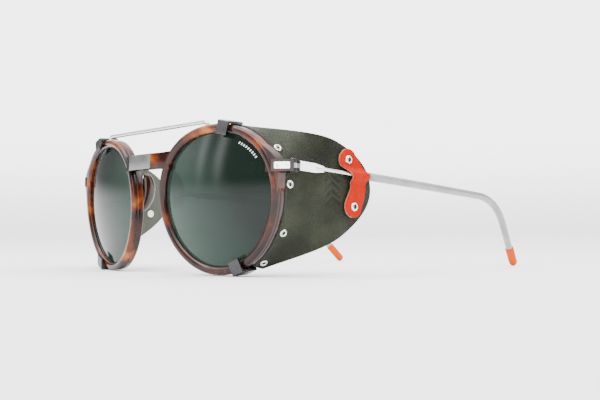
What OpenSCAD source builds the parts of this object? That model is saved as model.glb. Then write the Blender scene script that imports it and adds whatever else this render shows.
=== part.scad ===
// Glacier glasses: round moulded front, two tinted lenses, a wire brow bar, folding
// wire temples and clip-on leather side shields held to the temples by strap loops.
// Units are millimetres. +X is the wearer's left, +Y runs back along the temples, +Z is up.
// The glasses stand on the two rims and the two temple tips, with the floor at Z = 0.

/* [Lenses] */
// Boxed width of a lens
lens_w = 49; // [42:0.5:56]
// Boxed height of a lens
lens_h = 47.6; // [40:0.5:52]
// How much the top of the eye shape is flattened
brow_flat = 0.5; // [0:0.1:1]
// Thickness of a lens
lens_t = 2.0; // [1.4:0.1:2.6]
// Radius of a lens's front surface
lens_curve = 88; // [70:1:140]

/* [Front] */
// Distance between the lenses
bridge_gap = 20; // [16:0.5:24]
// Radial width of the rim outside the lens edge
rim_over = 2.3; // [1.8:0.1:3.2]
// Depth of the rim, front to back
rim_t = 4.6; // [4:0.1:6]
// Depth that a lens sits in the rim
lens_seat = 0.7; // [0.5:0.1:1]
// Angle that each eye turns back at the temple side
wrap = 11; // [4:0.5:14]
// Angle that the top of the front leans forward
tilt = 3; // [0:0.5:6]
// Width of the flat face of the bridge
bridge_face_w = 13.8; // [10:0.2:16]
// Height of the bridge
bridge_h = 5.6; // [4:0.1:7]
// Height of the bridge's middle above the eye centre line
bridge_up = 14.4; // [12:0.1:17]

/* [Brow bar] */
// Diameter of the brow bar
bar_d = 1.5; // [1.2:0.1:2]
// Distance between the bar's two feet
bar_span = 63; // [54:1:70]

/* [Temples] */
// How far the hinge pin stands outside the front corner of the rim
hinge_out = 3.8; // [3.4:0.1:7]
// How far the hinge pin is behind the rim at that corner
hinge_back = 1.7; // [1.5:0.1:4]
// Height of the hinge above the eye centre line
hinge_up = 10.3; // [9:0.1:12]
// Diameter of the hinge pin
hinge_pin_d = 1.2; // [1:0.1:1.6]
// Downward slope of the temple
temple_slope = 3.8; // [2:0.1:6]
// Length of the flat arm at the front of a temple
arm_len = 12; // [9:0.5:16]
// Height of the flat arm
arm_h = 3.2; // [2.6:0.1:4]
// Thickness of the flat arm
arm_t = 1.6; // [1.2:0.1:2]
// Diameter of the temple's wire core
wire_d = 1.4; // [1:0.1:1.6]
// Distance from the hinge to the start of the rear bow
straight_len = 38; // [34:1:46]
// Radius of the rear bow, seen from above
bow_r = 900; // [500:10:1500]
// Length of the rear bow
bow_len = 66; // [50:1:76]
// Radius of the ear bend
ear_r = 35; // [25:1:45]
// Angle of the ear bend
ear_angle = 44; // [30:1:55]
// Angle that the ear bend leans inwards at its lower end
ear_lean = 13; // [0:1:18]
// Outside diameter of the temple sleeve
sleeve_d = 3.0; // [2.4:0.1:3.6]
// Length of the rubber tip
tip_len = 10.5; // [8:0.5:14]
// Outside diameter of the rubber tip
tip_d = 3.6; // [3.2:0.1:4.4]

/* [Side shields] */
// Thickness of the leather
leather_t = 1.6; // [1.2:0.1:2]
// Distance from the eye plane to the rear end of the shield
shield_back = 48; // [40:0.5:54]
// Angle below the centre line where the shield's front edge ends
shield_low_angle = 62; // [50:1:64]
// Angle above the centre line where the shield's front edge ends
shield_high_angle = 70; // [50:1:70]
// Outside diameter of an eyelet
eyelet_d = 2.9; // [2.2:0.1:3.6]
// Diameter of the hole through an eyelet
eyelet_hole_d = 1.3; // [0.8:0.1:1.6]
// Thickness of the strap
strap_t = 1.3; // [1:0.1:1.8]
// Width of a shield hook, along the rim
hook_w = 4.6; // [3.5:0.1:6]
// Thickness of a shield hook
hook_t = 0.9; // [0.7:0.1:1.2]

/* [Hidden] */

$fn = 48;
eps = 0.01;
fit = 0.1;                 // gap between pieces that are laid against each other
far = 60;                  // long enough to cut through anything

// ---- the eye shape and its plane --------------------------------------------------------
eye_steps = 72;            // points round the eye shape
corner_round = 0.15;       // fourth harmonic, which squares the shape a little
lift = 0.3;                // first harmonic, which raises the widest point
eye_x = (lens_w + bridge_gap) / 2;

// Distance from the eye centre to the lens edge; 0 is the temple side and 90 the top.
function lens_r(a) = (lens_w + lens_h) / 4 + (lens_w - lens_h) / 4 * cos(2 * a)
    + brow_flat * sin(3 * a) + lift * sin(a) - corner_round * cos(4 * a);
function eye_point(a, grow) = (lens_r(a) + grow) * [cos(a), sin(a)];

// The floor is level with the lower of the rims and the bottom hooks.
hook_over = rim_over + 0.3;
hook_ring = lens_w / 2 + hook_over;        // how far from the eye's centre a hook stands
carrier_low = -shield_low_angle - asin((hook_w / 2 + 0.5) / hook_ring);   // bottom hook's angle
carrier_high = shield_high_angle + asin((hook_w / 2 + 1) / hook_ring);    // top hook's angle
hook_proud = 0.15;
hook_front = hook_proud + hook_t;
rim_low = min([for (i = [0:eye_steps - 1]) eye_point(360 * i / eye_steps, rim_over)[1]]);
hook_low = (lens_r(carrier_low) + hook_over + hook_t) * sin(carrier_low) - hook_w / 2 * cos(carrier_low);
eye_z = max(-rim_low * cos(tilt), -hook_low * cos(tilt) + hook_front * sin(tilt));

// World place of a point in the eye plane: u outwards, v upwards, n forwards.
function eye_world(u, v, n) = let (y = -v * sin(tilt) - n * cos(tilt))
    [eye_x + u * cos(wrap) - y * sin(wrap), u * sin(wrap) + y * cos(wrap),
     eye_z + v * cos(tilt) - n * sin(tilt)];
function eye_world_at(a, grow, n) = let (p = eye_point(a, grow)) eye_world(p[0], p[1], n);

// Puts a piece of the left side in its place, and its twin on the right.
module place() translate([0, -middle_y, 0]) children();
module left() place() children();
module right() place() mirror([1, 0, 0]) children();

module eye_frame() translate([eye_x, 0, eye_z]) rotate([90 + tilt, 0, wrap]) children();
module eye_shape(grow) polygon([for (i = [0:eye_steps - 1]) eye_point(360 * i / eye_steps, grow)]);
module eye_slab(grow, front, back) translate([0, 0, -back])
    linear_extrude(back + front) eye_shape(grow);
// A band round the rim between two angles, in the eye plane.
module eye_band(from, to, inner, outer, front, back) {
    steps = ceil((to - from) / 5);
    angles = [for (i = [0:steps]) from + (to - from) * i / steps];
    translate([0, 0, -back]) linear_extrude(back + front) polygon(concat(
        [for (a = angles) eye_point(a, outer)],
        [for (i = [steps:-1:0]) eye_point(angles[i], inner)]));
}

// ---- lenses -----------------------------------------------------------------------------
lens_bulge = 1.6;          // how far a lens's crown stands in front of the rim
module lens_shell(spare) translate([0, 0, lens_bulge - lens_curve]) difference() {
    sphere(r = lens_curve + spare, $fn = 96);
    sphere(r = lens_curve - lens_t - spare, $fn = 96);
}
module lens_body(grow, spare) eye_frame() intersection() {
    eye_slab(grow, lens_bulge + 1, rim_t + 1);
    lens_shell(spare);
}
module lens() color([0.27, 0.38, 0.33, 0.8]) lens_body(-fit / 2, 0);

// ---- front ------------------------------------------------------------------------------
end_angle = 24;            // where the end piece leaves the rim
end_front = eye_world_at(end_angle, rim_over, 0);         // front corner of the end piece
hinge_x = end_front[0] + hinge_out;
hinge_y = end_front[1] + rim_t * cos(wrap) + hinge_back;
hinge_z = eye_z + hinge_up;
knuckle_r = 1.5;
knuckle_h = 4.6;           // height of the whole hinge barrel
knuckle_gap = 0.1;         // gap between one knuckle and the next
temple_knuckle_h = knuckle_h / 3;
end_back = hinge_y - knuckle_r - 0.1;      // rear face of the end piece
end_h = 4.0;
leaf_t = 1.0;
leaf_x = hinge_x - knuckle_r;              // inner face of both hinge leaves
plaque_t = 0.7;
plaque_h = 2.2;
plaque_in = 1.1;           // from the end piece's front corner to the plaque
arm_x = hinge_x + 0.9;                     // inner face of the flat arm
arm_out = arm_x + arm_t;                   // outer face of the flat arm
end_outer = [arm_out - plaque_t, end_back];
plaque_dir = atan2(end_outer[1] - end_front[1], end_outer[0] - end_front[0]);
plaque_len = norm([end_outer[0] - end_front[0], end_outer[1] - end_front[1]]) - plaque_in - 1;
// The end piece stands out round the plaque, so the plaque lies in a shallow seat.
end_border = (plaque_t - fit) * [sin(plaque_dir), -cos(plaque_dir)];
bridge_front = eye_world_at(180, rim_over, 0)[1] - 2.6;   // the bridge stands proud of the rims
bridge_z = eye_z + bridge_up;
bridge_t = 4.2;

// Plan of the bridge: a flat face whose sides turn back into the two rims.
bridge_root = 180 - asin(bridge_up / (lens_h / 2 + lift));     // where the bridge meets the rim
module bridge_plan() {
    root = eye_world_at(bridge_root, rim_over / 2, 0);
    face = bridge_face_w / 2;
    polygon([[-face, bridge_front], [face, bridge_front], [root[0] + 1, root[1] - 0.3],
        [root[0] + 1, root[1] + rim_t], [face - 2, bridge_front + bridge_t],
        [2 - face, bridge_front + bridge_t], [-root[0] - 1, root[1] + rim_t],
        [-root[0] - 1, root[1] - 0.3]]);
}
// The end piece: from the rim back and outwards to the hinge.
module end_piece() {
    root = eye_world_at(end_angle, 0, 0);
    edge = end_outer + end_border;
    translate([0, 0, hinge_z - end_h / 2]) linear_extrude(end_h) polygon([
        [root[0] - 1, root[1] + 0.5], [end_front[0] - 0.3, end_front[1]],
        [end_front[0], end_front[1]] + end_border, edge, [edge[0], end_back],
        [leaf_x + 0.1, end_back], [leaf_x + 0.1, end_back - 2],
        [root[0] - 1, end_back - 1]]);
}
// A thin web that runs from the rim into the end piece above and below it.
module end_web() eye_frame() translate([0, 0, -rim_t]) linear_extrude(rim_t - 0.4) polygon([
    eye_point(42, rim_over - 0.4), eye_point(30, rim_over + 1.3), eye_point(25, rim_over + 2),
    eye_point(20, rim_over + 2), eye_point(14, rim_over + 1.1), eye_point(2, rim_over - 0.4),
    eye_point(22, 0.9)]);
bar_pin_d = 1.2;
bar_pin_len = 1.5;
module front_half() difference() {
    union() {
        eye_frame() eye_slab(rim_over, 0, rim_t);
        end_piece();
        end_web();
    }
    eye_frame() eye_slab(-lens_seat, 1, rim_t + 1);
    lens_body(fit / 2, fit / 2);
    bar_foot(bar_pin_d / 2 + fit / 4);
    hinge_front_plate(fit);
    plaque_seat();
}
module front_frame_body() color([0.30, 0.12, 0.05]) {
    difference() {
        union() {
            front_half();
            mirror([1, 0, 0]) front_half();
            translate([0, 0, bridge_z - bridge_h / 2]) difference() {
                linear_extrude(bridge_h) bridge_plan();
                bridge_clear();
                mirror([1, 0, 0]) bridge_clear();
            }
        }
    }
}
// Keeps the bridge out of the lens openings.
module bridge_clear() translate([0, 0, bridge_h / 2 - bridge_z]) eye_frame()
    eye_slab(rim_over - 1.2, lens_bulge + 2, rim_t + 2);

module nose_pad() color([0.16, 0.06, 0.03]) difference() {
    hull() {
        root = eye_world_at(168, rim_over, -rim_t);
        translate([root[0] + 1.2, root[1] + 1.2, hinge_z - 0.6]) sphere(r = 2.0, $fn = 28);
        translate([root[0] + 2.4, root[1] + 5.4, hinge_z - 5.8]) sphere(r = 2.4, $fn = 28);
        translate([root[0] + 4.6, root[1] + 4.2, hinge_z - 11.2]) sphere(r = 2.0, $fn = 28);
        translate([root[0] + 3.2, root[1] + 0.8, hinge_z - 10.2]) sphere(r = 1.6, $fn = 28);
    }
    eye_frame() eye_slab(rim_over + 3, 6, rim_t + fit / 2);
    lens_body(0, fit);
}

// ---- brow bar ---------------------------------------------------------------------------
bar_elbow = bar_d / 2 + 0.3;               // bend radius of the bar's turned-down ends
bar_y = -0.6;
function rim_top(x) = let (a = 90 + asin((eye_x - x) / (lens_h / 2)))
    eye_z + (lens_r(a) + rim_over) * sin(a) * cos(tilt);
bar_chord = bar_span / 2 - bar_elbow;
bar_end_z = rim_top(bar_span / 2 + bar_d / 2) + bar_elbow + fit;
module bar_foot(r) translate([bar_span / 2, bar_y, bar_end_z - bar_elbow - bar_pin_len - 0.2])
    cylinder(r = r, h = bar_pin_len + bar_elbow);
module brow_bar_body() color([0.86, 0.86, 0.87]) {
    translate([-bar_chord, bar_y, bar_end_z]) rotate([0, 90, 0]) cylinder(d = bar_d, h = 2 * bar_chord);
    for (side = [0, 1]) mirror([side, 0, 0]) bar_elbow_end();
}
module bar_elbow_end() {
    translate([bar_chord, bar_y, bar_end_z - bar_elbow]) rotate([90, 0, 0])
        rotate_extrude(angle = 90, $fn = 96) translate([bar_elbow, 0]) circle(d = bar_d);
    translate([bar_span / 2, bar_y, bar_end_z - bar_elbow - 0.2 - bar_pin_len])
        cylinder(d = bar_pin_d, h = bar_pin_len + 0.2);
}

// ---- hinges -----------------------------------------------------------------------------
module knuckle(r, low, high) translate([hinge_x, hinge_y, hinge_z + low])
    cylinder(r = r, h = high - low);
leaf_front = 2.9;          // how far the front leaf's tongue runs forward of the pin
leaf_tongue_h = 2.6;
module hinge_front_plate(spare)
    translate([leaf_x - spare, hinge_y - leaf_front - spare, hinge_z - leaf_tongue_h / 2 - spare])
        cube([leaf_t + 2 * spare, leaf_front + spare, leaf_tongue_h + 2 * spare]);
module hinge_front_leaf() color([0.72, 0.72, 0.74]) difference() {
    union() {
        hinge_front_plate(0);
        translate([leaf_x, end_back + fit, hinge_z - knuckle_h / 2])
            cube([leaf_t, hinge_y - end_back - fit, knuckle_h]);
        knuckle(knuckle_r, -knuckle_h / 2, knuckle_h / 2);
    }
    knuckle(knuckle_r + 0.25, -temple_knuckle_h / 2 - knuckle_gap, temple_knuckle_h / 2 + knuckle_gap);
    knuckle(hinge_pin_d / 2 + 0.02, -knuckle_h, knuckle_h);
    knuckle(screw_head_r + 0.05, knuckle_h / 2 - screw_head_h, knuckle_h);
}
screw_head_r = 1.0;
screw_head_h = 0.6;
module hinge_screw() color([0.80, 0.80, 0.82]) difference() {
    union() {
        knuckle(hinge_pin_d / 2, -knuckle_h / 2, knuckle_h / 2 - screw_head_h + eps);
        knuckle(screw_head_r, knuckle_h / 2 - screw_head_h, knuckle_h / 2 + 0.1);
    }
    translate([hinge_x - 0.15, hinge_y - 2, hinge_z + knuckle_h / 2 - 0.2]) cube([0.3, 4, 1]);
}
// The slanted outer face of the end piece: X along it, Y into it.
module on_plaque() translate([end_front[0], end_front[1], hinge_z]) rotate([0, 0, plaque_dir])
    children();
module plaque_seat() on_plaque() translate([plaque_in - fit, -3, -plaque_h / 2 - fit])
    cube([plaque_len + 2 * fit, 3, plaque_h + 2 * fit]);
// A bright plate let into that face, with two round hollows.
module hinge_plaque() color([0.90, 0.90, 0.91]) on_plaque()
    translate([plaque_in, -plaque_t, -plaque_h / 2]) difference() {
        cube([plaque_len, plaque_t - fit / 2, plaque_h]);
        for (x = [0.9, plaque_len - 0.9]) translate([x, 0.15, plaque_h / 2])
            rotate([90, 0, 0]) cylinder(r = 0.35, h = 1);
    }

// ---- temples: everything here is placed from the hinge pin -------------------------------
wire_x = arm_x + arm_t / 2 + 0.25;
wire_start = hinge_y + arm_len - 4;
bow_angle = bow_len / bow_r * 180 / PI;
run_y = hinge_y + 1;                       // where the temple's run begins
run_straight = straight_len - 1;
ear_top = hinge_z - sin(temple_slope) * (run_straight + bow_r * sin(bow_angle));
tip_end_r = tip_d / 2;
// How much the temple drops for each millimetre along the bend's start and across it.
drop_along = sin(temple_slope) * cos(bow_angle);
drop_down = cos(temple_slope) * cos(ear_lean) - sin(temple_slope) * sin(bow_angle) * sin(ear_lean);
ear_leg = (ear_top - tip_end_r - drop_along * ear_r * sin(ear_angle)
    - drop_down * ear_r * (1 - cos(ear_angle)))
    / (drop_along * cos(ear_angle) + drop_down * sin(ear_angle));
// Where the rear end of the temple is, and the middle of the whole length.
ear_y = ear_leg * cos(ear_angle) + ear_r * sin(ear_angle);
ear_drop = ear_leg * sin(ear_angle) + ear_r * (1 - cos(ear_angle));
tip_side = -ear_drop * sin(ear_lean);
tip_along = run_straight + (bow_r + tip_side) * sin(bow_angle) + ear_y * cos(bow_angle);
tip_y = run_y + tip_along * cos(temple_slope) - ear_drop * cos(ear_lean) * sin(temple_slope);
middle_y = (bridge_front + tip_y + tip_end_r) / 2;

// The temple's run: straight, then a bow inwards, then the ear bend, then the straight leg.
module at_run() translate([wire_x, run_y, hinge_z]) rotate([-temple_slope, 0, 0]) children();
module at_bow_end() at_run() translate([-bow_r, run_straight, 0]) rotate([0, 0, bow_angle])
    translate([bow_r, 0, 0]) children();
module ear_plane() at_bow_end() rotate([0, ear_lean, 0]) children();
module at_ear_end() ear_plane() translate([0, 0, -ear_r]) rotate([-ear_angle, 0, 0])
    translate([0, 0, ear_r]) children();
module along_straight(from, to) at_run() translate([0, from, 0]) rotate([-90, 0, 0])
    linear_extrude(to - from) children();
module along_leg(from, to) at_ear_end() translate([0, from, 0]) rotate([-90, 0, 0])
    linear_extrude(to - from) children();

// Wire and sleeve are swept along the run. s is the length from the run's start.
function turn_x(v, a) = [v[0], v[1] * cos(a) - v[2] * sin(a), v[1] * sin(a) + v[2] * cos(a)];
function turn_y(v, a) = [v[0] * cos(a) + v[2] * sin(a), v[1], v[2] * cos(a) - v[0] * sin(a)];
function turn_z(v, a) = [v[0] * cos(a) - v[1] * sin(a), v[0] * sin(a) + v[1] * cos(a), v[2]];
function bow_turn(s) = min(max(s - run_straight, 0), bow_len) / bow_r * 180 / PI;
function ear_turn(s) = min(max(s - run_straight - bow_len, 0) / ear_r * 180 / PI, ear_angle);
ear_s = run_straight + bow_len + ear_r * ear_angle * PI / 180;       // where the leg begins
function run_centre(s) = let (b = bow_turn(s), e = ear_turn(s), l = max(s - ear_s, 0))
    [bow_r * (cos(b) - 1), min(s, run_straight) + bow_r * sin(b), 0]
    + turn_z(turn_y([0, ear_r * sin(e) + l * cos(e), -ear_r * (1 - cos(e)) - l * sin(e)], ear_lean), b);
function run_ring(s, r, sides) = [for (k = [0:sides - 1]) let (a = 360 * k / sides)
    run_centre(s) + turn_z(turn_y(turn_x([r * cos(a), 0, r * sin(a)], -ear_turn(s)), ear_lean), bow_turn(s))];
function run_stations(from, to) = concat([from, run_straight],
    [for (k = [1:6]) run_straight + bow_len * k / 6],
    [for (k = [1:11]) run_straight + bow_len + (ear_s - run_straight - bow_len) * k / 11], [to]);
tube_sides = 24;
// A tube along the run; its inner radius is 0 for a solid wire.
module run_tube(from, to, outer, inner) at_run() {
    stations = run_stations(from, to);
    n = len(stations);
    count = n * tube_sides;
    points = concat([for (s = stations) each run_ring(s, outer, tube_sides)],
        inner > 0 ? [for (s = stations) each run_ring(s, inner, tube_sides)] : []);
    wall = [for (i = [0:n - 2]) for (k = [0:tube_sides - 1]) let (m = (k + 1) % tube_sides)
        [i * tube_sides + k, i * tube_sides + m, (i + 1) * tube_sides + m, (i + 1) * tube_sides + k]];
    bore = [for (f = wall) [f[3] + count, f[2] + count, f[1] + count, f[0] + count]];
    rims = [for (k = [0:tube_sides - 1]) let (m = (k + 1) % tube_sides, e = count - tube_sides) each
        [[k, k + count, m + count, m], [e + k, e + m, e + m + count, e + k + count]]];
    caps = [[for (k = [tube_sides - 1:-1:0]) k], [for (k = [0:tube_sides - 1]) count - tube_sides + k]];
    polyhedron(points, inner > 0 ? concat(wall, bore, rims) : concat(wall, caps), convexity = 8);
}
sleeve_bore = wire_d + 0.1;
tip_start = ear_leg - tip_len + tip_end_r;
module temple_wire() color([0.78, 0.78, 0.80])
    run_tube(wire_start - run_y, ear_s + tip_start + tip_len - 4, wire_d / 2, 0);
module temple_sleeve() color([0.80, 0.81, 0.82])
    run_tube(sleeve_start, ear_s + tip_start - fit / 2, sleeve_d / 2, sleeve_bore / 2);
module temple_tip() color([1.0, 0.45, 0.10]) difference() {
    union() {
        along_leg(tip_start, ear_leg) circle(d = tip_d);
        at_ear_end() translate([0, ear_leg, 0]) sphere(r = tip_end_r);
    }
    along_leg(tip_start - 1, tip_start + tip_len - 3.9) circle(d = sleeve_bore);
}
arm_start = hinge_y + 0.9;
arm_nose = 3;              // length over which the arm narrows at its rear end
module temple_arm() color([0.90, 0.90, 0.91]) difference() {
    translate([arm_x, 0, 0]) rotate([90, 0, 90]) linear_extrude(arm_t)
        translate([hinge_y, hinge_z]) rotate(-temple_slope) polygon([
            [arm_start - hinge_y, -arm_h / 2], [arm_len - arm_nose, -arm_h / 2],
            [arm_len, -arm_h / 2 + 0.5], [arm_len, arm_h / 2 - 0.5],
            [arm_len - arm_nose, arm_h / 2], [arm_start - hinge_y, arm_h / 2]]);
    along_straight(wire_start - run_y - fit, far) circle(d = wire_d + fit);
    knuckle(knuckle_r + 0.3, -knuckle_h, knuckle_h);
}
temple_leaf_len = 6.5;
module hinge_temple_leaf() color([0.72, 0.72, 0.74]) difference() {
    union() {
        knuckle(knuckle_r, -temple_knuckle_h / 2, temple_knuckle_h / 2);
        translate([arm_x - leaf_t, hinge_y, hinge_z - temple_knuckle_h / 2])
            cube([leaf_t - fit / 2, temple_leaf_len, temple_knuckle_h]);
    }
    knuckle(hinge_pin_d / 2 + 0.04, -knuckle_h, knuckle_h);
}

// ---- side shields -----------------------------------------------------------------------
// The leather is a sheet whose front edge follows the rim and whose rear edge is a rounded
// point. s runs from the front edge (0) to the rear edge (1), t from the bottom to the top.
shield_grow = rim_over + 0.5;              // outer face of the leather, outside the lens edge
shield_n = -rim_t - 0.25;                  // the leather starts just behind the rim
shield_plane = arm_x - 0.7;                // outer face of the flat rear part
shield_flare = 24;                         // the leather lies flat from this far behind the rim
shield_tip_z = hinge_z - 6.6;              // height of the rear point
function bezier(p, k) = pow(1 - k, 3) * p[0] + 3 * pow(1 - k, 2) * k * p[1]
    + 3 * (1 - k) * k * k * p[2] + pow(k, 3) * p[3];
function shield_a(t) = (shield_low_angle + shield_high_angle) * t - shield_low_angle;
function shield_front(t) = eye_world_at(shield_a(t), shield_grow, shield_n);
shield_low = shield_front(0);
shield_high = shield_front(1);
function shield_edge(t) = t < 0.5
    ? bezier([[shield_low[1] + 3.2, shield_low[2] - 0.8], [shield_back - 19, shield_tip_z - 18.5],
        [shield_back, shield_tip_z - 11], [shield_back, shield_tip_z]], 2 * t)
    : bezier([[shield_back, shield_tip_z], [shield_back, shield_tip_z + 12],
        [shield_back - 18, shield_tip_z + 18], [shield_high[1] + 2.6, shield_high[2] - 0.3]], 2 * t - 1);
function shield_ease(d) = let (k = min(d / shield_flare, 1)) k * k * (3 - 2 * k);
function shield_point(s, t) = let (f = shield_front(t), e = shield_edge(t), d = (e[0] - f[1]) * s)
    [f[0] + (shield_plane - f[0]) * shield_ease(d), f[1] + d, f[2] + (e[1] - f[2]) * s];
function unit(v) = v / norm(v);
step = 0.01;
function shield_normal(s, t) = let (a = max(s - step, 0), b = min(s + step, 1),
        c = max(t - step, 0), d = min(t + step, 1))
    unit(cross(shield_point(b, t) - shield_point(a, t), shield_point(s, d) - shield_point(s, c)));
function shield_at(s, t, depth) = shield_point(s, t) - depth * shield_normal(s, t);
shield_rows = 16;
shield_cols = 32;
function grid_id(i, j, layer) = layer * (shield_rows + 1) * (shield_cols + 1)
    + i * (shield_cols + 1) + j;
function wall_faces(a, b) = [[a[0], a[1], b[1]], [a[0], b[1], b[0]]];
module shield_sheet() {
    points = [for (layer = [0, 1]) for (i = [0:shield_rows]) for (j = [0:shield_cols])
        shield_at(i / shield_rows, j / shield_cols, layer * leather_t)];
    outside = [for (i = [0:shield_rows - 1]) for (j = [0:shield_cols - 1]) each
        wall_faces([grid_id(i, j, 0), grid_id(i, j + 1, 0)], [grid_id(i + 1, j, 0), grid_id(i + 1, j + 1, 0)])];
    inside = [for (i = [0:shield_rows - 1]) for (j = [0:shield_cols - 1]) each
        wall_faces([grid_id(i + 1, j, 1), grid_id(i + 1, j + 1, 1)], [grid_id(i, j, 1), grid_id(i, j + 1, 1)])];
    ends = [for (j = [0:shield_cols - 1]) each concat(
        wall_faces([grid_id(0, j, 1), grid_id(0, j + 1, 1)], [grid_id(0, j, 0), grid_id(0, j + 1, 0)]),
        wall_faces([grid_id(shield_rows, j, 0), grid_id(shield_rows, j + 1, 0)],
            [grid_id(shield_rows, j, 1), grid_id(shield_rows, j + 1, 1)]))];
    sides = [for (i = [0:shield_rows - 1]) each concat(
        wall_faces([grid_id(i, 0, 1), grid_id(i, 0, 0)], [grid_id(i + 1, 0, 1), grid_id(i + 1, 0, 0)]),
        wall_faces([grid_id(i, shield_cols, 0), grid_id(i, shield_cols, 1)],
            [grid_id(i + 1, shield_cols, 0), grid_id(i + 1, shield_cols, 1)]))];
    polyhedron(points, concat(outside, inside, ends, sides), convexity = 6);
}
// Carries children from the origin, along +Z, to a point of the leather, along its normal.
module on_shield(s, t) {
    n = shield_normal(s, t);
    translate(shield_point(s, t)) rotate([0, acos(n[2]), atan2(n[1], n[0])]) children();
}
// The eyelets lie a fixed way behind the front edge, at these angles round the rim.
eyelet_angles = [-56, -27, 8.5, 36];
eyelet_shares = [for (a = eyelet_angles) (a + shield_low_angle) / (shield_low_angle + shield_high_angle)];
eyelet_in = eyelet_d / 2 + 0.35;
function eyelet_s(t) = let (f = shield_front(t), e = shield_edge(t))
    eyelet_in / norm([e[0] - f[1], e[1] - f[2]]);
eyelet_barrel_d = eyelet_hole_d + 0.4;
eyelet_lip = 0.4;
carrier_gap = 0.15;
carrier_t = 0.9;
carrier_outer = shield_grow - leather_t - carrier_gap;
carrier_inner = carrier_outer - carrier_t;
carrier_back = rim_t + 3.4;
barrel_len = leather_t + 0.55;
module at_eyelets() for (t = eyelet_shares) on_shield(eyelet_s(t), t) children();
module eyelets() color([0.93, 0.93, 0.90]) at_eyelets() difference() {
    union() {
        translate([0, 0, 1.5 * fit]) cylinder(d1 = eyelet_d, d2 = eyelet_d - 0.5, h = eyelet_lip);
        translate([0, 0, -barrel_len]) cylinder(d = eyelet_barrel_d, h = barrel_len + 0.2);
    }
    translate([0, 0, -far / 2]) cylinder(d = eyelet_hole_d, h = far);
}
// A washer behind the leather, rolled over by the eyelet's barrel.
module eyelet_washers() color([0.70, 0.70, 0.70]) at_eyelets()
    translate([0, 0, -leather_t - 0.5]) difference() {
        cylinder(d = eyelet_d - 0.2, h = 0.4);
        translate([0, 0, -1]) cylinder(d = eyelet_barrel_d + fit / 2, h = 3);
    }

// The carrier: a band behind the rim, inside the leather, with a notch for the folded arm.
module shield_carrier() color([0.45, 0.46, 0.48]) difference() {
    eye_frame() eye_band(carrier_low - 4, carrier_high + 4, carrier_inner, carrier_outer,
        -rim_t - fit, carrier_back);
    translate([0, hinge_y - 1.2, hinge_z - arm_h / 2 - 1]) cube([far * 2, far, arm_h + 2]);
    at_eyelets() translate([0, 0, -4.5]) cylinder(d = eyelet_d + 0.2, h = 4.5);
}
// A hook: it stands on the carrier's edge and reaches over the rim to its front face.
hook_reach = 1.4;          // how far the hook's front reaches inwards past the lens edge
module shield_hook(a) color([0.62, 0.62, 0.63]) eye_frame() rotate([0, 0, a]) {
    r = lens_r(a);
    rotate([90, 0, 0]) translate([0, 0, -hook_w / 2]) linear_extrude(hook_w) polygon([
        [r + carrier_outer + 0.05, -rim_t - 2.2], [r + hook_over + hook_t, -rim_t - 2.2],
        [r + hook_over + hook_t, hook_front - 0.4], [r + hook_over + hook_t - 0.4, hook_front],
        [r - hook_reach, hook_front + lens_bulge / 4], [r - hook_reach, hook_proud + lens_bulge / 4],
        [r + hook_over, hook_proud], [r + hook_over, -rim_t - 2.2 + hook_t],
        [r + carrier_outer + 0.05, -rim_t - 2.2 + hook_t]]);
}

// The strap loop: a crescent of leather over the wire, with its two lobes riveted down.
// Its outline and section are drawn in the temple's own run: y along it, z across it.
strap_y = shield_back - 8.9 - run_y;       // middle of the strap, from the start of the run
sleeve_start = strap_y + 5.6;              // the sleeve begins just behind the strap
strap_base = shield_plane + fit - wire_x;  // inner face of the flat lobes
strap_rise = wire_d / 2 + 0.35 - strap_base;
rivet_d = 3.3;
strap_lobes = [[strap_y - 4.3, 4.8], [strap_y - 0.5, -11.1]];
// The strap rises over half of this length, which ends short of the upper rivet's head.
strap_half = strap_lobes[0][1] - rivet_d / 2 - fit / 2;
lobe_r = 4.0;
function strap_line(z) = strap_base
    + (abs(z) < strap_half ? strap_rise * pow(cos(90 * z / strap_half), 2) : 0);
strap_zs = [for (z = [-16:0.6:12]) z];
module strap_section() polygon(concat(
    [for (z = strap_zs) [strap_line(z), z]],
    [for (i = [len(strap_zs) - 1:-1:0]) [strap_line(strap_zs[i]) + strap_t, strap_zs[i]]]));
module strap_leg(a, ra, b, rb) hull() {
    translate(a) circle(r = ra);
    translate(b) circle(r = rb);
}
module strap_outline() {
    top = [strap_y + 0.8, 0.5];
    low = [strap_y + 1.8, -5];
    strap_leg(strap_lobes[0], lobe_r, top, 3.5);
    strap_leg(top, 3.5, low, 3.5);
    strap_leg(low, 3.5, strap_lobes[1], lobe_r);
}
module strap_loop() color([0.92, 0.28, 0.14]) difference() {
    at_run() intersection() {
        translate([0, strap_y + 12, 0]) rotate([90, 0, 0]) linear_extrude(24) strap_section();
        translate([strap_base - 1, 0, 0]) rotate([90, 0, 90]) linear_extrude(12) strap_outline();
    }
    at_rivets() translate([0, 0, -1]) cylinder(d = rivet_shank_d + fit, h = 6);
}
rivet_shank_d = 1.5;
rivet_head = 0.8;
module at_rivets() for (p = strap_lobes) at_run() translate([strap_base, p[0], p[1]])
    rotate([0, 90, 0]) children();
rivet_ball = (pow(rivet_d / 2, 2) + pow(rivet_head, 2)) / (2 * rivet_head);
module strap_rivets() color([0.93, 0.93, 0.90]) at_rivets() {
    translate([0, 0, strap_t + fit / 2]) intersection() {
        cylinder(d = rivet_d, h = rivet_head);
        translate([0, 0, rivet_head - rivet_ball]) sphere(r = rivet_ball);
    }
    translate([0, 0, -fit - leather_t - 0.6])
        cylinder(d = rivet_shank_d, h = strap_t + leather_t + fit + 0.8);
}
module rivet_washers() color([0.70, 0.70, 0.70]) at_rivets()
    translate([0, 0, -fit - leather_t - 0.5]) difference() {
        cylinder(d = rivet_d - 0.2, h = 0.4);
        translate([0, 0, -1]) cylinder(d = rivet_shank_d + fit / 2, h = 3);
    }
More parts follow.
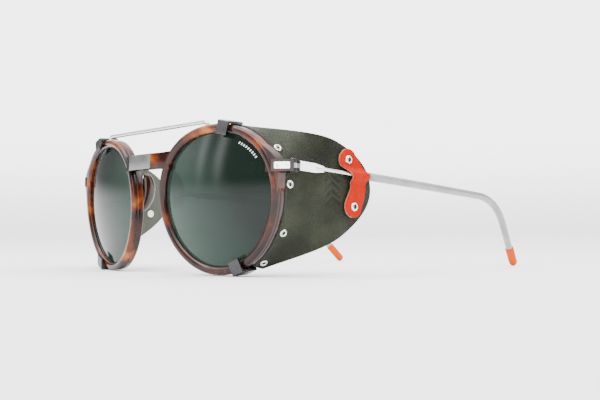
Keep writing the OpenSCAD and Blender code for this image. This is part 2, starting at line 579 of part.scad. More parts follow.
module side_shield() color([0.20, 0.22, 0.16]) difference() {
    shield_sheet();
    at_eyelets() translate([0, 0, -4]) cylinder(d = eyelet_barrel_d + fit, h = 8);
    at_rivets() translate([0, 0, -5]) cylinder(d = rivet_shank_d + 3 * fit, h = 10);
}

// ---- every piece in its place -----------------------------------------------------------
module front_frame() place() front_frame_body();
module brow_bar() place() brow_bar_body();
module lens_left() left() lens();
module lens_right() right() lens();
module nose_pad_left() left() nose_pad();
module nose_pad_right() right() nose_pad();
module hinge_plaque_left() left() hinge_plaque();
module hinge_plaque_right() right() hinge_plaque();
module hinge_front_leaf_left() left() hinge_front_leaf();
module hinge_front_leaf_right() right() hinge_front_leaf();
module hinge_screw_left() left() hinge_screw();
module hinge_screw_right() right() hinge_screw();
module shield_carrier_left() left() shield_carrier();
module shield_carrier_right() right() shield_carrier();
module side_shield_left() left() side_shield();
module side_shield_right() right() side_shield();
module shield_eyelets_left() left() eyelets();
module shield_eyelets_right() right() eyelets();
module eyelet_washers_left() left() eyelet_washers();
module eyelet_washers_right() right() eyelet_washers();
module temple_arm_left() left() temple_arm();
module temple_arm_right() right() temple_arm();
module hinge_temple_leaf_left() left() hinge_temple_leaf();
module hinge_temple_leaf_right() right() hinge_temple_leaf();
module temple_wire_left() left() temple_wire();
module temple_wire_right() right() temple_wire();
module temple_sleeve_left() left() temple_sleeve();
module temple_sleeve_right() right() temple_sleeve();
module temple_tip_left() left() temple_tip();
module temple_tip_right() right() temple_tip();
module strap_loop_left() left() strap_loop();
module strap_loop_right() right() strap_loop();
module strap_rivets_left() left() strap_rivets();
module strap_rivets_right() right() strap_rivets();
module rivet_washers_left() left() rivet_washers();
module rivet_washers_right() right() rivet_washers();
module shield_hook_top_left() left() shield_hook(carrier_high);
module shield_hook_top_right() right() shield_hook(carrier_high);
module shield_hook_bottom_left() left() shield_hook(carrier_low);
module shield_hook_bottom_right() right() shield_hook(carrier_low);

front_frame();
lens_left();
lens_right();
brow_bar();
nose_pad_left();
nose_pad_right();
hinge_plaque_left();
hinge_plaque_right();
hinge_front_leaf_left();
hinge_front_leaf_right();
hinge_screw_left();
hinge_screw_right();
shield_carrier_left();
shield_carrier_right();
shield_hook_top_left();
shield_hook_top_right();
shield_hook_bottom_left();
shield_hook_bottom_right();
side_shield_left();
side_shield_right();
shield_eyelets_left();
shield_eyelets_right();
eyelet_washers_left();
eyelet_washers_right();
temple_arm_left();
temple_arm_right();
hinge_temple_leaf_left();
hinge_temple_leaf_right();
temple_wire_left();
temple_wire_right();
temple_sleeve_left();
temple_sleeve_right();
temple_tip_left();
temple_tip_right();
strap_loop_left();
strap_loop_right();
strap_rivets_left();
strap_rivets_right();
rivet_washers_left();
rivet_washers_right();
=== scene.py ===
import logging
from dataclasses import dataclass, field
from enum import Enum

import bpy
import numpy as np
from mathutils import Matrix, Vector

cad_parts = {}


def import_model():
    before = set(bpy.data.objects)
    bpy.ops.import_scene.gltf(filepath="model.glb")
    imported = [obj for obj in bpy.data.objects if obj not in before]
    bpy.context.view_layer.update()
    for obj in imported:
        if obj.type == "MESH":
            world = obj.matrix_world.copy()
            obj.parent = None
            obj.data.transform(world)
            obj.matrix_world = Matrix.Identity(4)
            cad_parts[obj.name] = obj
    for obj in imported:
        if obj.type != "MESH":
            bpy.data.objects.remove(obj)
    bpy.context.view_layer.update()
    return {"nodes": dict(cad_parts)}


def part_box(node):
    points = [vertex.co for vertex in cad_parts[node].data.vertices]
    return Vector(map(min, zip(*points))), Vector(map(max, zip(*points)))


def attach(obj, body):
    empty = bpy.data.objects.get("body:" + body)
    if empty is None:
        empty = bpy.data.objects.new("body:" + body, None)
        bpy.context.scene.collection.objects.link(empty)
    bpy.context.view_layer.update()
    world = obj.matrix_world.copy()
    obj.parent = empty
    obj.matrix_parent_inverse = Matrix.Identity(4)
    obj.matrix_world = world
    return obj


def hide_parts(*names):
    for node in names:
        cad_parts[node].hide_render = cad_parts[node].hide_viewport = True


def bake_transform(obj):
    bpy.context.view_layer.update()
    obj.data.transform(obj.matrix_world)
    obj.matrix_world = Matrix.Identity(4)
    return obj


LOG = logging.getLogger("glacier_glasses")
MM = 0.001


class Side(Enum):
    """Which half of the glasses a piece belongs to."""

    LEFT = "left"
    RIGHT = "right"

    @property
    def sign(self) -> float:
        """+1 on the wearer's left, -1 on the right."""
        return 1.0 if self is Side.LEFT else -1.0


# ---- numpy helpers ----------------------------------------------------------------------


def smooth_step(x: np.ndarray) -> np.ndarray:
    """Rises from 0 to 1 as 3x^2 - 2x^3, with x held between 0 and 1."""
    k = np.clip(x, 0.0, 1.0)
    return k * k * (3 - 2 * k)


def turn(points: np.ndarray, axis: str, degrees: np.ndarray | float) -> np.ndarray:
    """Turns points about a coordinate axis through the origin.

    Args:
        points: (..., 3) points.
        axis: "x", "y" or "z".
        degrees: One angle, or one for each point.

    Returns:
        The turned points.
    """
    i, j = {"x": (1, 2), "y": (2, 0), "z": (0, 1)}[axis]
    c, s = np.cos(np.radians(degrees)), np.sin(np.radians(degrees))
    out = np.array(points, float)
    out[..., i] = points[..., i] * c - points[..., j] * s
    out[..., j] = points[..., i] * s + points[..., j] * c
    return out


def rounded_loop(corners: list[tuple[float, float, float]], steps: int = 5) -> np.ndarray:
    """A closed outline whose corners are replaced by quarter-like curves.

    Each corner (x, y, r) is cut back by r along both of its sides, and the cut is bridged by the
    quadratic curve whose middle control point is the corner itself.

    Args:
        corners: The corners in order, each with the length that is cut back.
        steps: Points on each curve.

    Returns:
        (N, 2) points.
    """
    p = np.array([c[:2] for c in corners], float)
    r = np.array([c[2] for c in corners], float)[:, None]
    before, after = np.roll(p, 1, 0) - p, np.roll(p, -1, 0) - p
    a = p + before / np.linalg.norm(before, axis=1, keepdims=True) * r
    b = p + after / np.linalg.norm(after, axis=1, keepdims=True) * r
    t = np.linspace(0, 1, steps)[None, :, None]
    curve = (1 - t) ** 2 * a[:, None] + 2 * t * (1 - t) * p[:, None] + t * t * b[:, None]
    return curve.reshape(-1, 2)


def grid_faces(rows: int, cols: int, wrap_rows: bool = False, wrap_cols: bool = False, start: int = 0) -> np.ndarray:
    """Quads of a rows by cols grid of points, stored row after row.

    Args:
        rows: Number of rows of points.
        cols: Number of points in a row.
        wrap_rows: Joins the last row to the first.
        wrap_cols: Joins each row's last point to its first.
        start: Index of the first point.

    Returns:
        (N, 4) indices.
    """
    i = np.arange(rows if wrap_rows else rows - 1)[:, None]
    j = np.arange(cols if wrap_cols else cols - 1)[None, :]
    i2, j2 = (i + 1) % rows, (j + 1) % cols
    quads = np.stack([i * cols + j, i * cols + j2, i2 * cols + j2, i2 * cols + j], -1)
    return quads.reshape(-1, 4) + start


@dataclass
class Shape:
    """Points and faces of one closed piece, in millimetres."""

    points: np.ndarray
    faces: list[list[int]]
    uv: np.ndarray | None = None
    slots: np.ndarray | None = None

    def plus(self, other: "Shape") -> "Shape":
        """This shape and another one as a single shape."""
        shift = len(self.points)
        faces = self.faces + [[k + shift for k in f] for f in other.faces]
        slots = None
        if self.slots is not None or other.slots is not None:
            mine = self.slots if self.slots is not None else np.zeros(len(self.faces), int)
            its = other.slots if other.slots is not None else np.zeros(len(other.faces), int)
            slots = np.concatenate([mine, its])
        return Shape(np.concatenate([self.points, other.points]), faces, None, slots)

    def volume(self) -> float:
        """Signed volume by the divergence rule, summed over a fan of each face."""
        total = 0.0
        by_size: dict[int, list[list[int]]] = {}
        for f in self.faces:
            by_size.setdefault(len(f), []).append(f)
        for size, group in by_size.items():
            corners = self.points[np.array(group)]
            for k in range(1, size - 1):
                total += float(np.einsum("ij,ij->", corners[:, 0], np.cross(corners[:, k], corners[:, k + 1]))) / 6
        return total


def tube(rings: np.ndarray, closed: bool = False) -> Shape:
    """A closed skin over a row of rings: ring i is joined to ring i + 1, and the ends are capped.

    Args:
        rings: (rings, points, 3) points.
        closed: Joins the last ring to the first, and leaves out the caps.

    Returns:
        The shape, with faces outwards.
    """
    n, m = rings.shape[:2]
    faces = grid_faces(n, m, wrap_rows=closed, wrap_cols=True).tolist()
    if not closed:
        faces += [list(range(m - 1, -1, -1)), list(range((n - 1) * m, n * m))]
    shape = Shape(rings.reshape(-1, 3), faces)
    if shape.volume() < 0:
        shape.faces = [f[::-1] for f in shape.faces]
    return shape


def prism(outline: np.ndarray, low: float, high: float) -> Shape:
    """An outline in x and y, carried along z from low to high."""
    rings = np.stack([np.column_stack([outline, np.full(len(outline), z)]) for z in (low, high)])
    return tube(rings)


def lathe(profile: np.ndarray, sides: int = 32) -> Shape:
    """A closed profile of (radius, height) points turned round the z axis."""
    a = np.linspace(0, 2 * np.pi, sides, endpoint=False)[:, None]
    r, z = profile[None, :, 0], profile[None, :, 1]
    return tube(np.stack([r * np.cos(a), r * np.sin(a), np.broadcast_to(z, (sides, len(profile)))], -1), closed=True)


# ---- shared shader groups ---------------------------------------------------------------


class Nodes:
    """Adds nodes to one tree, with short calls for values and links."""

    def __init__(self, tree: bpy.types.NodeTree) -> None:
        """Args: tree: the node tree to add to."""
        self.tree = tree

    def add(self, kind: str, inputs: dict | None = None, **settings: object) -> bpy.types.Node:
        """Adds a node.

        Args:
            kind: The node's type name without "ShaderNode".
            inputs: Socket name or number to a value or to another node's output.
            **settings: Attributes of the node.

        Returns:
            The node.
        """
        node = self.tree.nodes.new(kind if kind.startswith("Node") else "ShaderNode" + kind)
        for name, value in settings.items():
            setattr(node, name, value)
        for name, value in (inputs or {}).items():
            socket = node.inputs[name]
            if isinstance(value, bpy.types.NodeSocket):
                self.tree.links.new(value, socket)
            else:
                socket.default_value = value
        return node

    def math(self, operation: str, a: object, b: object = 0.0, c: object = 0.0) -> bpy.types.NodeSocket:
        """A Math node's output for one to three operands."""
        return self.add("Math", {0: a, 1: b, 2: c}, operation=operation).outputs[0]

    def mix(self, factor: object, a: object, b: object, blend: str = "MIX") -> bpy.types.NodeSocket:
        """Mixes two colours."""
        node = self.add("Mix", {0: factor, 6: a, 7: b}, data_type="RGBA", blend_type=blend)
        return node.outputs[2]

    def ramp(self, value: object, stops: list[tuple[float, tuple[float, float, float]]]) -> bpy.types.NodeSocket:
        """A colour ramp through the given stops."""
        node = self.add("ValToRGB", {0: value})
        band = node.color_ramp
        while len(band.elements) < len(stops):
            band.elements.new(0.5)
        for element, (place, colour) in zip(band.elements, stops):
            element.position = place
            element.color = (*colour, 1.0)
        return node.outputs[0]


def group_tree(name: str, inputs: list[tuple[str, str, object]], outputs: list[tuple[str, str]]) -> tuple[bpy.types.NodeTree, Nodes, dict, bpy.types.Node]:
    """Starts a shader node group.

    Args:
        name: The group's name.
        inputs: (name, kind, default) of each input, kind being Float, Color or Vector.
        outputs: (name, kind) of each output.

    Returns:
        The tree, its node helper, its input sockets by name, and its output node.
    """
    tree = bpy.data.node_groups.new(name, "ShaderNodeTree")
    for label, kind, default in inputs:
        socket = tree.interface.new_socket(label, in_out="INPUT", socket_type="NodeSocket" + kind)
        if default is not None:
            socket.default_value = default
    for label, kind in outputs:
        tree.interface.new_socket(label, in_out="OUTPUT", socket_type="NodeSocket" + kind)
    helper = Nodes(tree)
    source = helper.add("NodeGroupInput")
    sink = helper.add("NodeGroupOutput")
    return tree, helper, {label: source.outputs[label] for label, _, _ in inputs}, sink


class Effects:
    """The node groups that several finishes share, each built once."""

    def __init__(self) -> None:
        """Builds the groups."""
        self.smudge = self._smudge()
        self.hide_grain = self._hide_grain()
        self.brushed = self._brushed()

    def _smudge(self) -> bpy.types.NodeTree:
        """Handling marks: soft noise that moves the roughness a little, with fine scratches."""
        tree, n, i, out = group_tree("handling_marks", [("Roughness", "Float", 0.2), ("Amount", "Float", 0.1), ("Scale", "Float", 90.0)], [("Roughness", "Float"), ("Height", "Float")])
        place = n.add("TexCoord").outputs["Object"]
        soft = n.add("TexNoise", {"Vector": place, "Scale": i["Scale"], "Detail": 4.0, "Roughness": 0.6}).outputs["Fac"]
        stretched = n.add("Mapping", {"Vector": place, "Scale": (3000.0, 240.0, 700.0), "Rotation": (0.4, 0.7, 0.3)}).outputs[0]
        fine = n.add("TexNoise", {"Vector": stretched, "Scale": 1.0, "Detail": 2.0}).outputs["Fac"]
        both = n.math("ADD", n.math("MULTIPLY", n.math("SUBTRACT", soft, 0.5), 2.0), n.math("SUBTRACT", fine, 0.5))
        n.tree.links.new(n.math("MULTIPLY_ADD", both, i["Amount"], i["Roughness"]), out.inputs["Roughness"])
        n.tree.links.new(fine, out.inputs["Height"])
        return tree

    def _hide_grain(self) -> bpy.types.NodeTree:
        """Leather grain: small cells with creases between them, over slower swellings."""
        tree, n, i, out = group_tree("hide_grain", [("Cells per metre", "Float", 1500.0)], [("Height", "Float"), ("Crease", "Float"), ("Patch", "Float")])
        place = n.add("TexCoord").outputs["Object"]
        bend = n.add("TexNoise", {"Vector": place, "Scale": 700.0, "Detail": 2.0}).outputs["Color"]
        moved = n.add("VectorMath", {0: bend, 1: (0.0006, 0.0006, 0.0006), 2: place}, operation="MULTIPLY_ADD").outputs[0]
        cells = n.add("TexVoronoi", {"Vector": moved, "Scale": i["Cells per metre"]}, feature="DISTANCE_TO_EDGE").outputs["Distance"]
        crease = n.add("MapRange", {"Value": cells, "From Min": 0.0, "From Max": 0.14, "To Min": 1.0, "To Max": 0.0}).outputs[0]
        swell = n.add("TexNoise", {"Vector": place, "Scale": 260.0, "Detail": 5.0, "Roughness": 0.65}).outputs["Fac"]
        patch = n.add("TexNoise", {"Vector": place, "Scale": 70.0, "Detail": 3.0}).outputs["Fac"]
        height = n.math("MULTIPLY_ADD", crease, -0.45, n.math("MULTIPLY", swell, 1.1))
        for socket, value in (("Height", height), ("Crease", crease), ("Patch", patch)):
            n.tree.links.new(value, out.inputs[socket])
        return tree

    def _brushed(self) -> bpy.types.NodeTree:
        """Satin metal: a fine even blast texture and a slow change of tone."""
        tree, n, i, out = group_tree("satin_blast", [("Dark", "Color", (0.2, 0.2, 0.2, 1)), ("Light", "Color", (0.4, 0.4, 0.4, 1))], [("Color", "Color"), ("Height", "Float")])
        place = n.add("TexCoord").outputs["Object"]
        slow = n.add("TexNoise", {"Vector": place, "Scale": 160.0, "Detail": 3.0}).outputs["Fac"]
        fine = n.add("TexNoise", {"Vector": place, "Scale": 5200.0, "Detail": 2.0}).outputs["Fac"]
        n.tree.links.new(n.mix(slow, i["Dark"], i["Light"]), out.inputs["Color"])
        n.tree.links.new(fine, out.inputs["Height"])
        return tree


@dataclass(frozen=True)
class Finish:
    """A finish that every piece of one material shares."""

    name: str
    effects: Effects

    def start(self) -> tuple[bpy.types.Material, Nodes, bpy.types.Node]:
        """A new material with an empty Principled shader.

        Returns:
            The material, its node helper and its shader node.
        """
        material = bpy.data.materials.new(self.name)
        material.use_nodes = True
        n = Nodes(material.node_tree)
        shader = next(x for x in material.node_tree.nodes if x.type == "BSDF_PRINCIPLED")
        return material, n, shader

    def group(self, n: Nodes, tree: bpy.types.NodeTree, inputs: dict) -> bpy.types.Node:
        """Places a shared group in this material with its own values."""
        return n.add("Group", None, node_tree=tree) if not inputs else self._fill(n, tree, inputs)

    @staticmethod
    def _fill(n: Nodes, tree: bpy.types.NodeTree, inputs: dict) -> bpy.types.Node:
        """Adds the group node, then sets its inputs."""
        node = n.add("Group", None, node_tree=tree)
        for name, value in inputs.items():
            if isinstance(value, bpy.types.NodeSocket):
                n.tree.links.new(value, node.inputs[name])
            else:
                node.inputs[name].default_value = value
        return node

    @staticmethod
    def bump(n: Nodes, shader: bpy.types.Node, height: bpy.types.NodeSocket, distance: float, strength: float = 1.0) -> None:
        """Feeds a height through a Bump node to the shader's normal."""
        node = n.add("Bump", {"Height": height, "Distance": distance, "Strength": strength})
        n.tree.links.new(node.outputs[0], shader.inputs["Normal"])


@dataclass(frozen=True)
class TortoiseAcetate(Finish):
    """Deep glossy brown with amber clouds, as in a tortoise moulding."""

    def make(self) -> bpy.types.Material:
        """Returns: the material."""
        material, n, shader = self.start()
        place = n.add("TexCoord").outputs["Object"]
        warp = n.add("TexNoise", {"Vector": place, "Scale": 60.0, "Detail": 2.0}).outputs["Color"]
        moved = n.add("VectorMath", {0: warp, 1: (0.012, 0.012, 0.012), 2: place}, operation="MULTIPLY_ADD").outputs[0]
        cloud = n.add("TexNoise", {"Vector": moved, "Scale": 62.0, "Detail": 3.0, "Roughness": 0.55}).outputs["Fac"]
        colour = n.ramp(cloud, [(0.38, (0.007, 0.0014, 0.0007)), (0.50, (0.028, 0.005, 0.002)), (0.60, (0.115, 0.022, 0.004)), (0.72, (0.34, 0.095, 0.014))])
        n.tree.links.new(colour, shader.inputs["Base Color"])
        marks = self.group(n, self.effects.smudge, {"Roughness": 0.10, "Amount": 0.04, "Scale": 110.0})
        n.tree.links.new(marks.outputs["Roughness"], shader.inputs["Roughness"])
        shader.inputs["Coat Weight"].default_value = 0.08
        shader.inputs["Coat Roughness"].default_value = 0.04
        shader.inputs["Specular IOR Level"].default_value = 0.3
        return material


@dataclass(frozen=True)
class TintedLens(Finish):
    """Smoked green-grey lens with a soft mirror coat. The tint is darker towards the top, and darker towards the temple
    side as painted shade from the leather shield behind the lens.
    """

    def make(self) -> bpy.types.Material:
        """Returns: the material."""
        material, n, shader = self.start()
        place = n.add("TexCoord").outputs["Object"]
        part = n.add("SeparateXYZ", {0: place})
        # Painted shade: the tint darkens as |x| grows, towards the temple side, where the leather shield behind the
        # lens casts shade.
        out = n.math("DIVIDE", n.math("SUBTRACT", n.math("ABSOLUTE", part.outputs["X"]), 0.012), 0.046)
        soft = n.add("TexNoise", {"Vector": place, "Scale": 30.0, "Detail": 1.0}).outputs["Fac"]
        # The tint also darkens towards the top, with a soft random noise on top.
        rise = n.math("MULTIPLY_ADD", part.outputs["Z"], 9.0, n.math("MULTIPLY", soft, 0.12))
        level = n.math("MULTIPLY_ADD", out, 0.68, rise)
        colour = n.ramp(level, [(0.0, (0.056, 0.098, 0.076)), (0.45, (0.024, 0.046, 0.036)), (0.8, (0.005, 0.011, 0.008))])
        n.tree.links.new(colour, shader.inputs["Base Color"])
        marks = self.group(n, self.effects.smudge, {"Roughness": 0.02, "Amount": 0.004, "Scale": 60.0})
        n.tree.links.new(marks.outputs["Roughness"], shader.inputs["Roughness"])
        shader.inputs["Metallic"].default_value = 0.0
        shader.inputs["Transmission Weight"].default_value = 0.5
        shader.inputs["IOR"].default_value = 1.32
        return material


@dataclass(frozen=True)
class Metal(Finish):
    """Metal, from satin gunmetal to bright chrome."""

    dark: tuple[float, float, float] = (0.3, 0.3, 0.3)
    light: tuple[float, float, float] = (0.5, 0.5, 0.5)
    roughness: float = 0.3
    blast: float = 0.00001

    def make(self) -> bpy.types.Material:
        """Returns: the material."""
        material, n, shader = self.start()
        satin = self.group(n, self.effects.brushed, {"Dark": (*self.dark, 1), "Light": (*self.light, 1)})
        marks = self.group(n, self.effects.smudge, {"Roughness": self.roughness, "Amount": 0.08, "Scale": 200.0})
        n.tree.links.new(satin.outputs["Color"], shader.inputs["Base Color"])
        n.tree.links.new(marks.outputs["Roughness"], shader.inputs["Roughness"])
        shader.inputs["Metallic"].default_value = 1.0
        self.bump(n, shader, satin.outputs["Height"], self.blast, 0.6)
        return material


@dataclass(frozen=True)
class Leather(Finish):
    """Grained leather with darker creases and paler worn patches."""

    deep: tuple[float, float, float] = (0.005, 0.006, 0.002)
    base: tuple[float, float, float] = (0.013, 0.017, 0.006)
    worn: tuple[float, float, float] = (0.024, 0.030, 0.011)
    roughness: float = 0.36
    cells: float = 1300.0
    grain: float = 0.00034
    motif: bool = False
    sheen: float = 0.2
    polish: float = 0.12

    def make(self) -> bpy.types.Material:
        """Returns: the material."""
        material, n, shader = self.start()
        grain = self.group(n, self.effects.hide_grain, {"Cells per metre": self.cells})
        tone = n.ramp(grain.outputs["Patch"], [(0.32, self.deep), (0.52, self.base), (0.74, self.worn)])
        colour = n.mix(n.math("MULTIPLY", grain.outputs["Crease"], 0.45), tone, (*self.deep, 1))
        height = grain.outputs["Height"]
        if self.motif:
            pressed = self._chevrons(n)
            height = n.math("MULTIPLY_ADD", pressed, -3.0, height)
            colour = n.mix(n.math("MULTIPLY", pressed, 0.7), colour, (*self.deep, 1))
        n.tree.links.new(colour, shader.inputs["Base Color"])
        rough = n.math("MULTIPLY_ADD", grain.outputs["Crease"], 0.18, self.roughness)
        n.tree.links.new(rough, shader.inputs["Roughness"])
        shader.inputs["Specular IOR Level"].default_value = self.sheen
        shine = n.add("MapRange", {"Value": grain.outputs["Patch"], "From Min": 0.42, "From Max": 0.66, "To Min": 0.0, "To Max": self.polish}).outputs[0]
        n.tree.links.new(shine, shader.inputs["Coat Weight"])
        shader.inputs["Coat Roughness"].default_value = 0.24
        self.bump(n, shader, height, self.grain, 0.9)
        return material

    @staticmethod
    def _chevrons(n: Nodes) -> bpy.types.NodeSocket:
        """Four pressed chevrons: bands of v + 0.8 |u|, inside a small window of the piece's own UV map.

        Args:
            n: The material's node helper.

        Returns:
            1 inside a chevron and 0 outside.
        """
        uv = n.add("SeparateXYZ", {0: n.add("UVMap").outputs[0]})
        u = n.math("ABSOLUTE", n.math("MULTIPLY_ADD", uv.outputs["X"], 1.0, -19.0))
        v = n.math("MULTIPLY_ADD", uv.outputs["Y"], 1.0, -31.0)
        band = n.math("PINGPONG", n.math("MULTIPLY_ADD", u, 0.8, v), 1.3)
        line = n.add("MapRange", {"Value": band, "From Min": 0.30, "From Max": 0.55, "To Min": 1.0, "To Max": 0.0}).outputs[0]
        wide = n.add("MapRange", {"Value": u, "From Min": 3.0, "From Max": 3.25, "To Min": 1.0, "To Max": 0.0}).outputs[0]
        tall = n.add("MapRange", {"Value": n.math("ABSOLUTE", v), "From Min": 5.0, "From Max": 5.25, "To Min": 1.0, "To Max": 0.0}).outputs[0]
        return n.math("MULTIPLY", line, n.math("MULTIPLY", wide, tall))


@dataclass(frozen=True)
class Suede(Finish):
    """The leather's napped inner face and its raw cut edge."""

    dark: tuple[float, float, float] = (0.024, 0.028, 0.018)
    light: tuple[float, float, float] = (0.085, 0.095, 0.066)

    def make(self) -> bpy.types.Material:
        """Returns: the material."""
        material, n, shader = self.start()
        place = n.add("TexCoord").outputs["Object"]
        nap = n.add("TexNoise", {"Vector": place, "Scale": 2600.0, "Detail": 5.0, "Roughness": 0.7}).outputs["Fac"]
        n.tree.links.new(n.ramp(nap, [(0.35, self.dark), (0.7, self.light)]), shader.inputs["Base Color"])
        shader.inputs["Roughness"].default_value = 0.92
        shader.inputs["Sheen Weight"].default_value = 0.4
        shader.inputs["Sheen Roughness"].default_value = 0.5
        self.bump(n, shader, nap, 0.00015, 0.8)
        return material


@dataclass(frozen=True)
class SoftPlastic(Finish):
    """Rubber tips, clear sleeves and other plain mouldings."""

    dark: tuple[float, float, float] = (0.8, 0.3, 0.05)
    light: tuple[float, float, float] = (0.9, 0.4, 0.1)
    roughness: float = 0.4
    coat: float = 0.0
    gloss: float = 0.5

    def make(self) -> bpy.types.Material:
        """Returns: the material."""
        material, n, shader = self.start()
        place = n.add("TexCoord").outputs["Object"]
        cloud = n.add("TexNoise", {"Vector": place, "Scale": 120.0, "Detail": 3.0}).outputs["Fac"]
        n.tree.links.new(n.ramp(cloud, [(0.3, self.dark), (0.7, self.light)]), shader.inputs["Base Color"])
        marks = self.group(n, self.effects.smudge, {"Roughness": self.roughness, "Amount": 0.08, "Scale": 150.0})
        n.tree.links.new(marks.outputs["Roughness"], shader.inputs["Roughness"])
        self.bump(n, shader, marks.outputs["Height"], 0.000006, 0.5)
        shader.inputs["Coat Weight"].default_value = self.coat
        shader.inputs["Coat Roughness"].default_value = 0.08
        shader.inputs["Specular IOR Level"].default_value = self.gloss
        return material


@dataclass(frozen=True)
class StudioFloor(Finish):
    """The plain pale floor."""

    tone: float = 0.9

    def make(self) -> bpy.types.Material:
        """Returns: the material."""
        material, n, shader = self.start()
        place = n.add("TexCoord").outputs["Object"]
        soft = n.add("TexNoise", {"Vector": place, "Scale": 4.0, "Detail": 2.0}).outputs["Fac"]
        low = self.tone - 0.006
        n.tree.links.new(n.ramp(soft, [(0.3, (low, low, low)), (0.7, (self.tone,) * 3)]), shader.inputs["Base Color"])
        shader.inputs["Roughness"].default_value = 0.9
        shader.inputs["Specular IOR Level"].default_value = 0.1
        return material


class Finishes:
    """Every finish of the glasses, made once."""

    def __init__(self) -> None:
        """Makes the materials."""
        e = Effects()
        self.acetate = TortoiseAcetate("tortoise_acetate", e).make()
        self.lens = TintedLens("tinted_lens", e).make()
        self.etch = Metal("lens_etch", e, (0.75, 0.78, 0.77), (0.85, 0.88, 0.87), 0.5).make()
        # Painted reflection: grey metal for the bridge's flat front faces, standing in for the softbox's reflection on
        # the glossy tortoise.
        self.bridge_painted_reflection = Metal("bridge_painted_reflection", e, (0.17, 0.165, 0.165), (0.25, 0.245, 0.245), 0.30).make()
        self.gunmetal = Metal("satin_gunmetal", e, (0.045, 0.045, 0.047), (0.085, 0.085, 0.088), 0.28).make()
        self.dark_band = Metal("dark_band", e, (0.030, 0.030, 0.032), (0.060, 0.060, 0.063), 0.32).make()
        self.chrome = Metal("bright_plate", e, (0.86, 0.86, 0.87), (0.93, 0.93, 0.94), 0.10, 0.000002).make()
        self.wire = Metal("drawn_wire", e, (0.68, 0.68, 0.70), (0.80, 0.80, 0.82), 0.20, 0.000003).make()
        self.hinge = Metal("hinge_steel", e, (0.50, 0.50, 0.52), (0.62, 0.62, 0.64), 0.28).make()
        self.eyelet = Metal("bright_eyelet", e, (0.84, 0.84, 0.80), (0.93, 0.93, 0.89), 0.16, 0.000002).make()
        self.hide = Leather("khaki_leather", e, motif=True).make()
        self.suede = Suede("suede_back", e).make()
        self.raw_edge = Suede("cut_edge", e, (0.012, 0.013, 0.010), (0.035, 0.037, 0.028)).make()
        self.strap = Leather("orange_leather", e, (0.30, 0.007, 0.0003), (0.42, 0.011, 0.0004), (0.50, 0.015, 0.0006), 0.6, 1900.0, 0.00006, sheen=0.05, polish=0.04).make()
        self.strap_back = Suede("strap_back", e, (0.34, 0.035, 0.01), (0.62, 0.10, 0.035)).make()
        self.sleeve = SoftPlastic("clear_grey_sleeve", e, (0.20, 0.20, 0.203), (0.27, 0.27, 0.273), 0.16, 0.6).make()
        self.tip = SoftPlastic("orange_tip", e, (0.46, 0.055, 0.0002), (0.58, 0.075, 0.0003), 0.6, 0.0, gloss=0.1).make()
        self.pad = SoftPlastic("brown_pad", e, (0.010, 0.0022, 0.0008), (0.028, 0.006, 0.002), 0.16, 0.1).make()
        self.floor = StudioFloor("studio_floor", e).make()


# ---- the workshop: turns shapes into objects -------------------------------------------


@dataclass
class Workshop:
    """Puts shapes into Blender in the glasses' frame.

    The shapes are worked out from the eye plane and from x = 0; length_shift moves them back to
    the frame whose origin is in the middle of the whole length.
    """

    finishes: Finishes
    length_shift: float
    made: list[bpy.types.Object] = field(default_factory=list)

    def piece(self, name: str, shape: Shape, materials: list[bpy.types.Material], side: Side | None = None, bevel: float = 0.0, smooth: bool = True) -> bpy.types.Object:
        """Makes an object of a shape.

        Args:
            name: The object's name, to which the side is added.
            shape: The shape, in millimetres, on the left side.
            materials: The materials of its slots.
            side: The side it is for. A right piece is the mirror image, with its faces turned.
            bevel: Width of a bevel on its sharp edges, in millimetres.
            smooth: Shades the faces smooth.

        Returns:
            The object.
        """
        points = shape.points - np.array([0.0, self.length_shift, 0.0])
        faces = shape.faces
        if side is Side.RIGHT:
            points = points * np.array([-1.0, 1.0, 1.0])
            faces = [f[::-1] for f in faces]
        mesh = bpy.data.meshes.new(name)
        mesh.from_pydata((points * MM).tolist(), [], faces)
        for material in materials:
            mesh.materials.append(material)
        if shape.slots is not None:
            mesh.polygons.foreach_set("material_index", shape.slots.astype(np.int32))
        mesh.polygons.foreach_set("use_smooth", np.full(len(faces), smooth))
        if shape.uv is not None:
            layer = mesh.uv_layers.new(name="UVMap")
            corner = np.empty(len(mesh.loops), np.int32)
            mesh.loops.foreach_get("vertex_index", corner)
            layer.data.foreach_set("uv", shape.uv[corner].astype(np.float32).ravel())
        mesh.update()
        label = name if side is None else f"{name}_{side.value}"
        thing = bpy.data.objects.new(label, mesh)
        bpy.context.scene.collection.objects.link(thing)
        if bevel > 0:
            cut = thing.modifiers.new("rounded_edges", "BEVEL")
            cut.width = bevel * MM
            cut.segments = 3
            cut.limit_method = "ANGLE"
            cut.angle_limit = np.radians(28)
            cut.harden_normals = True
        self.made.append(thing)
        LOG.info("%s: %d points, %d faces", label, len(points), len(faces))
        return thing


# ---- sizes and rules that the pieces share ---------------------------------------------


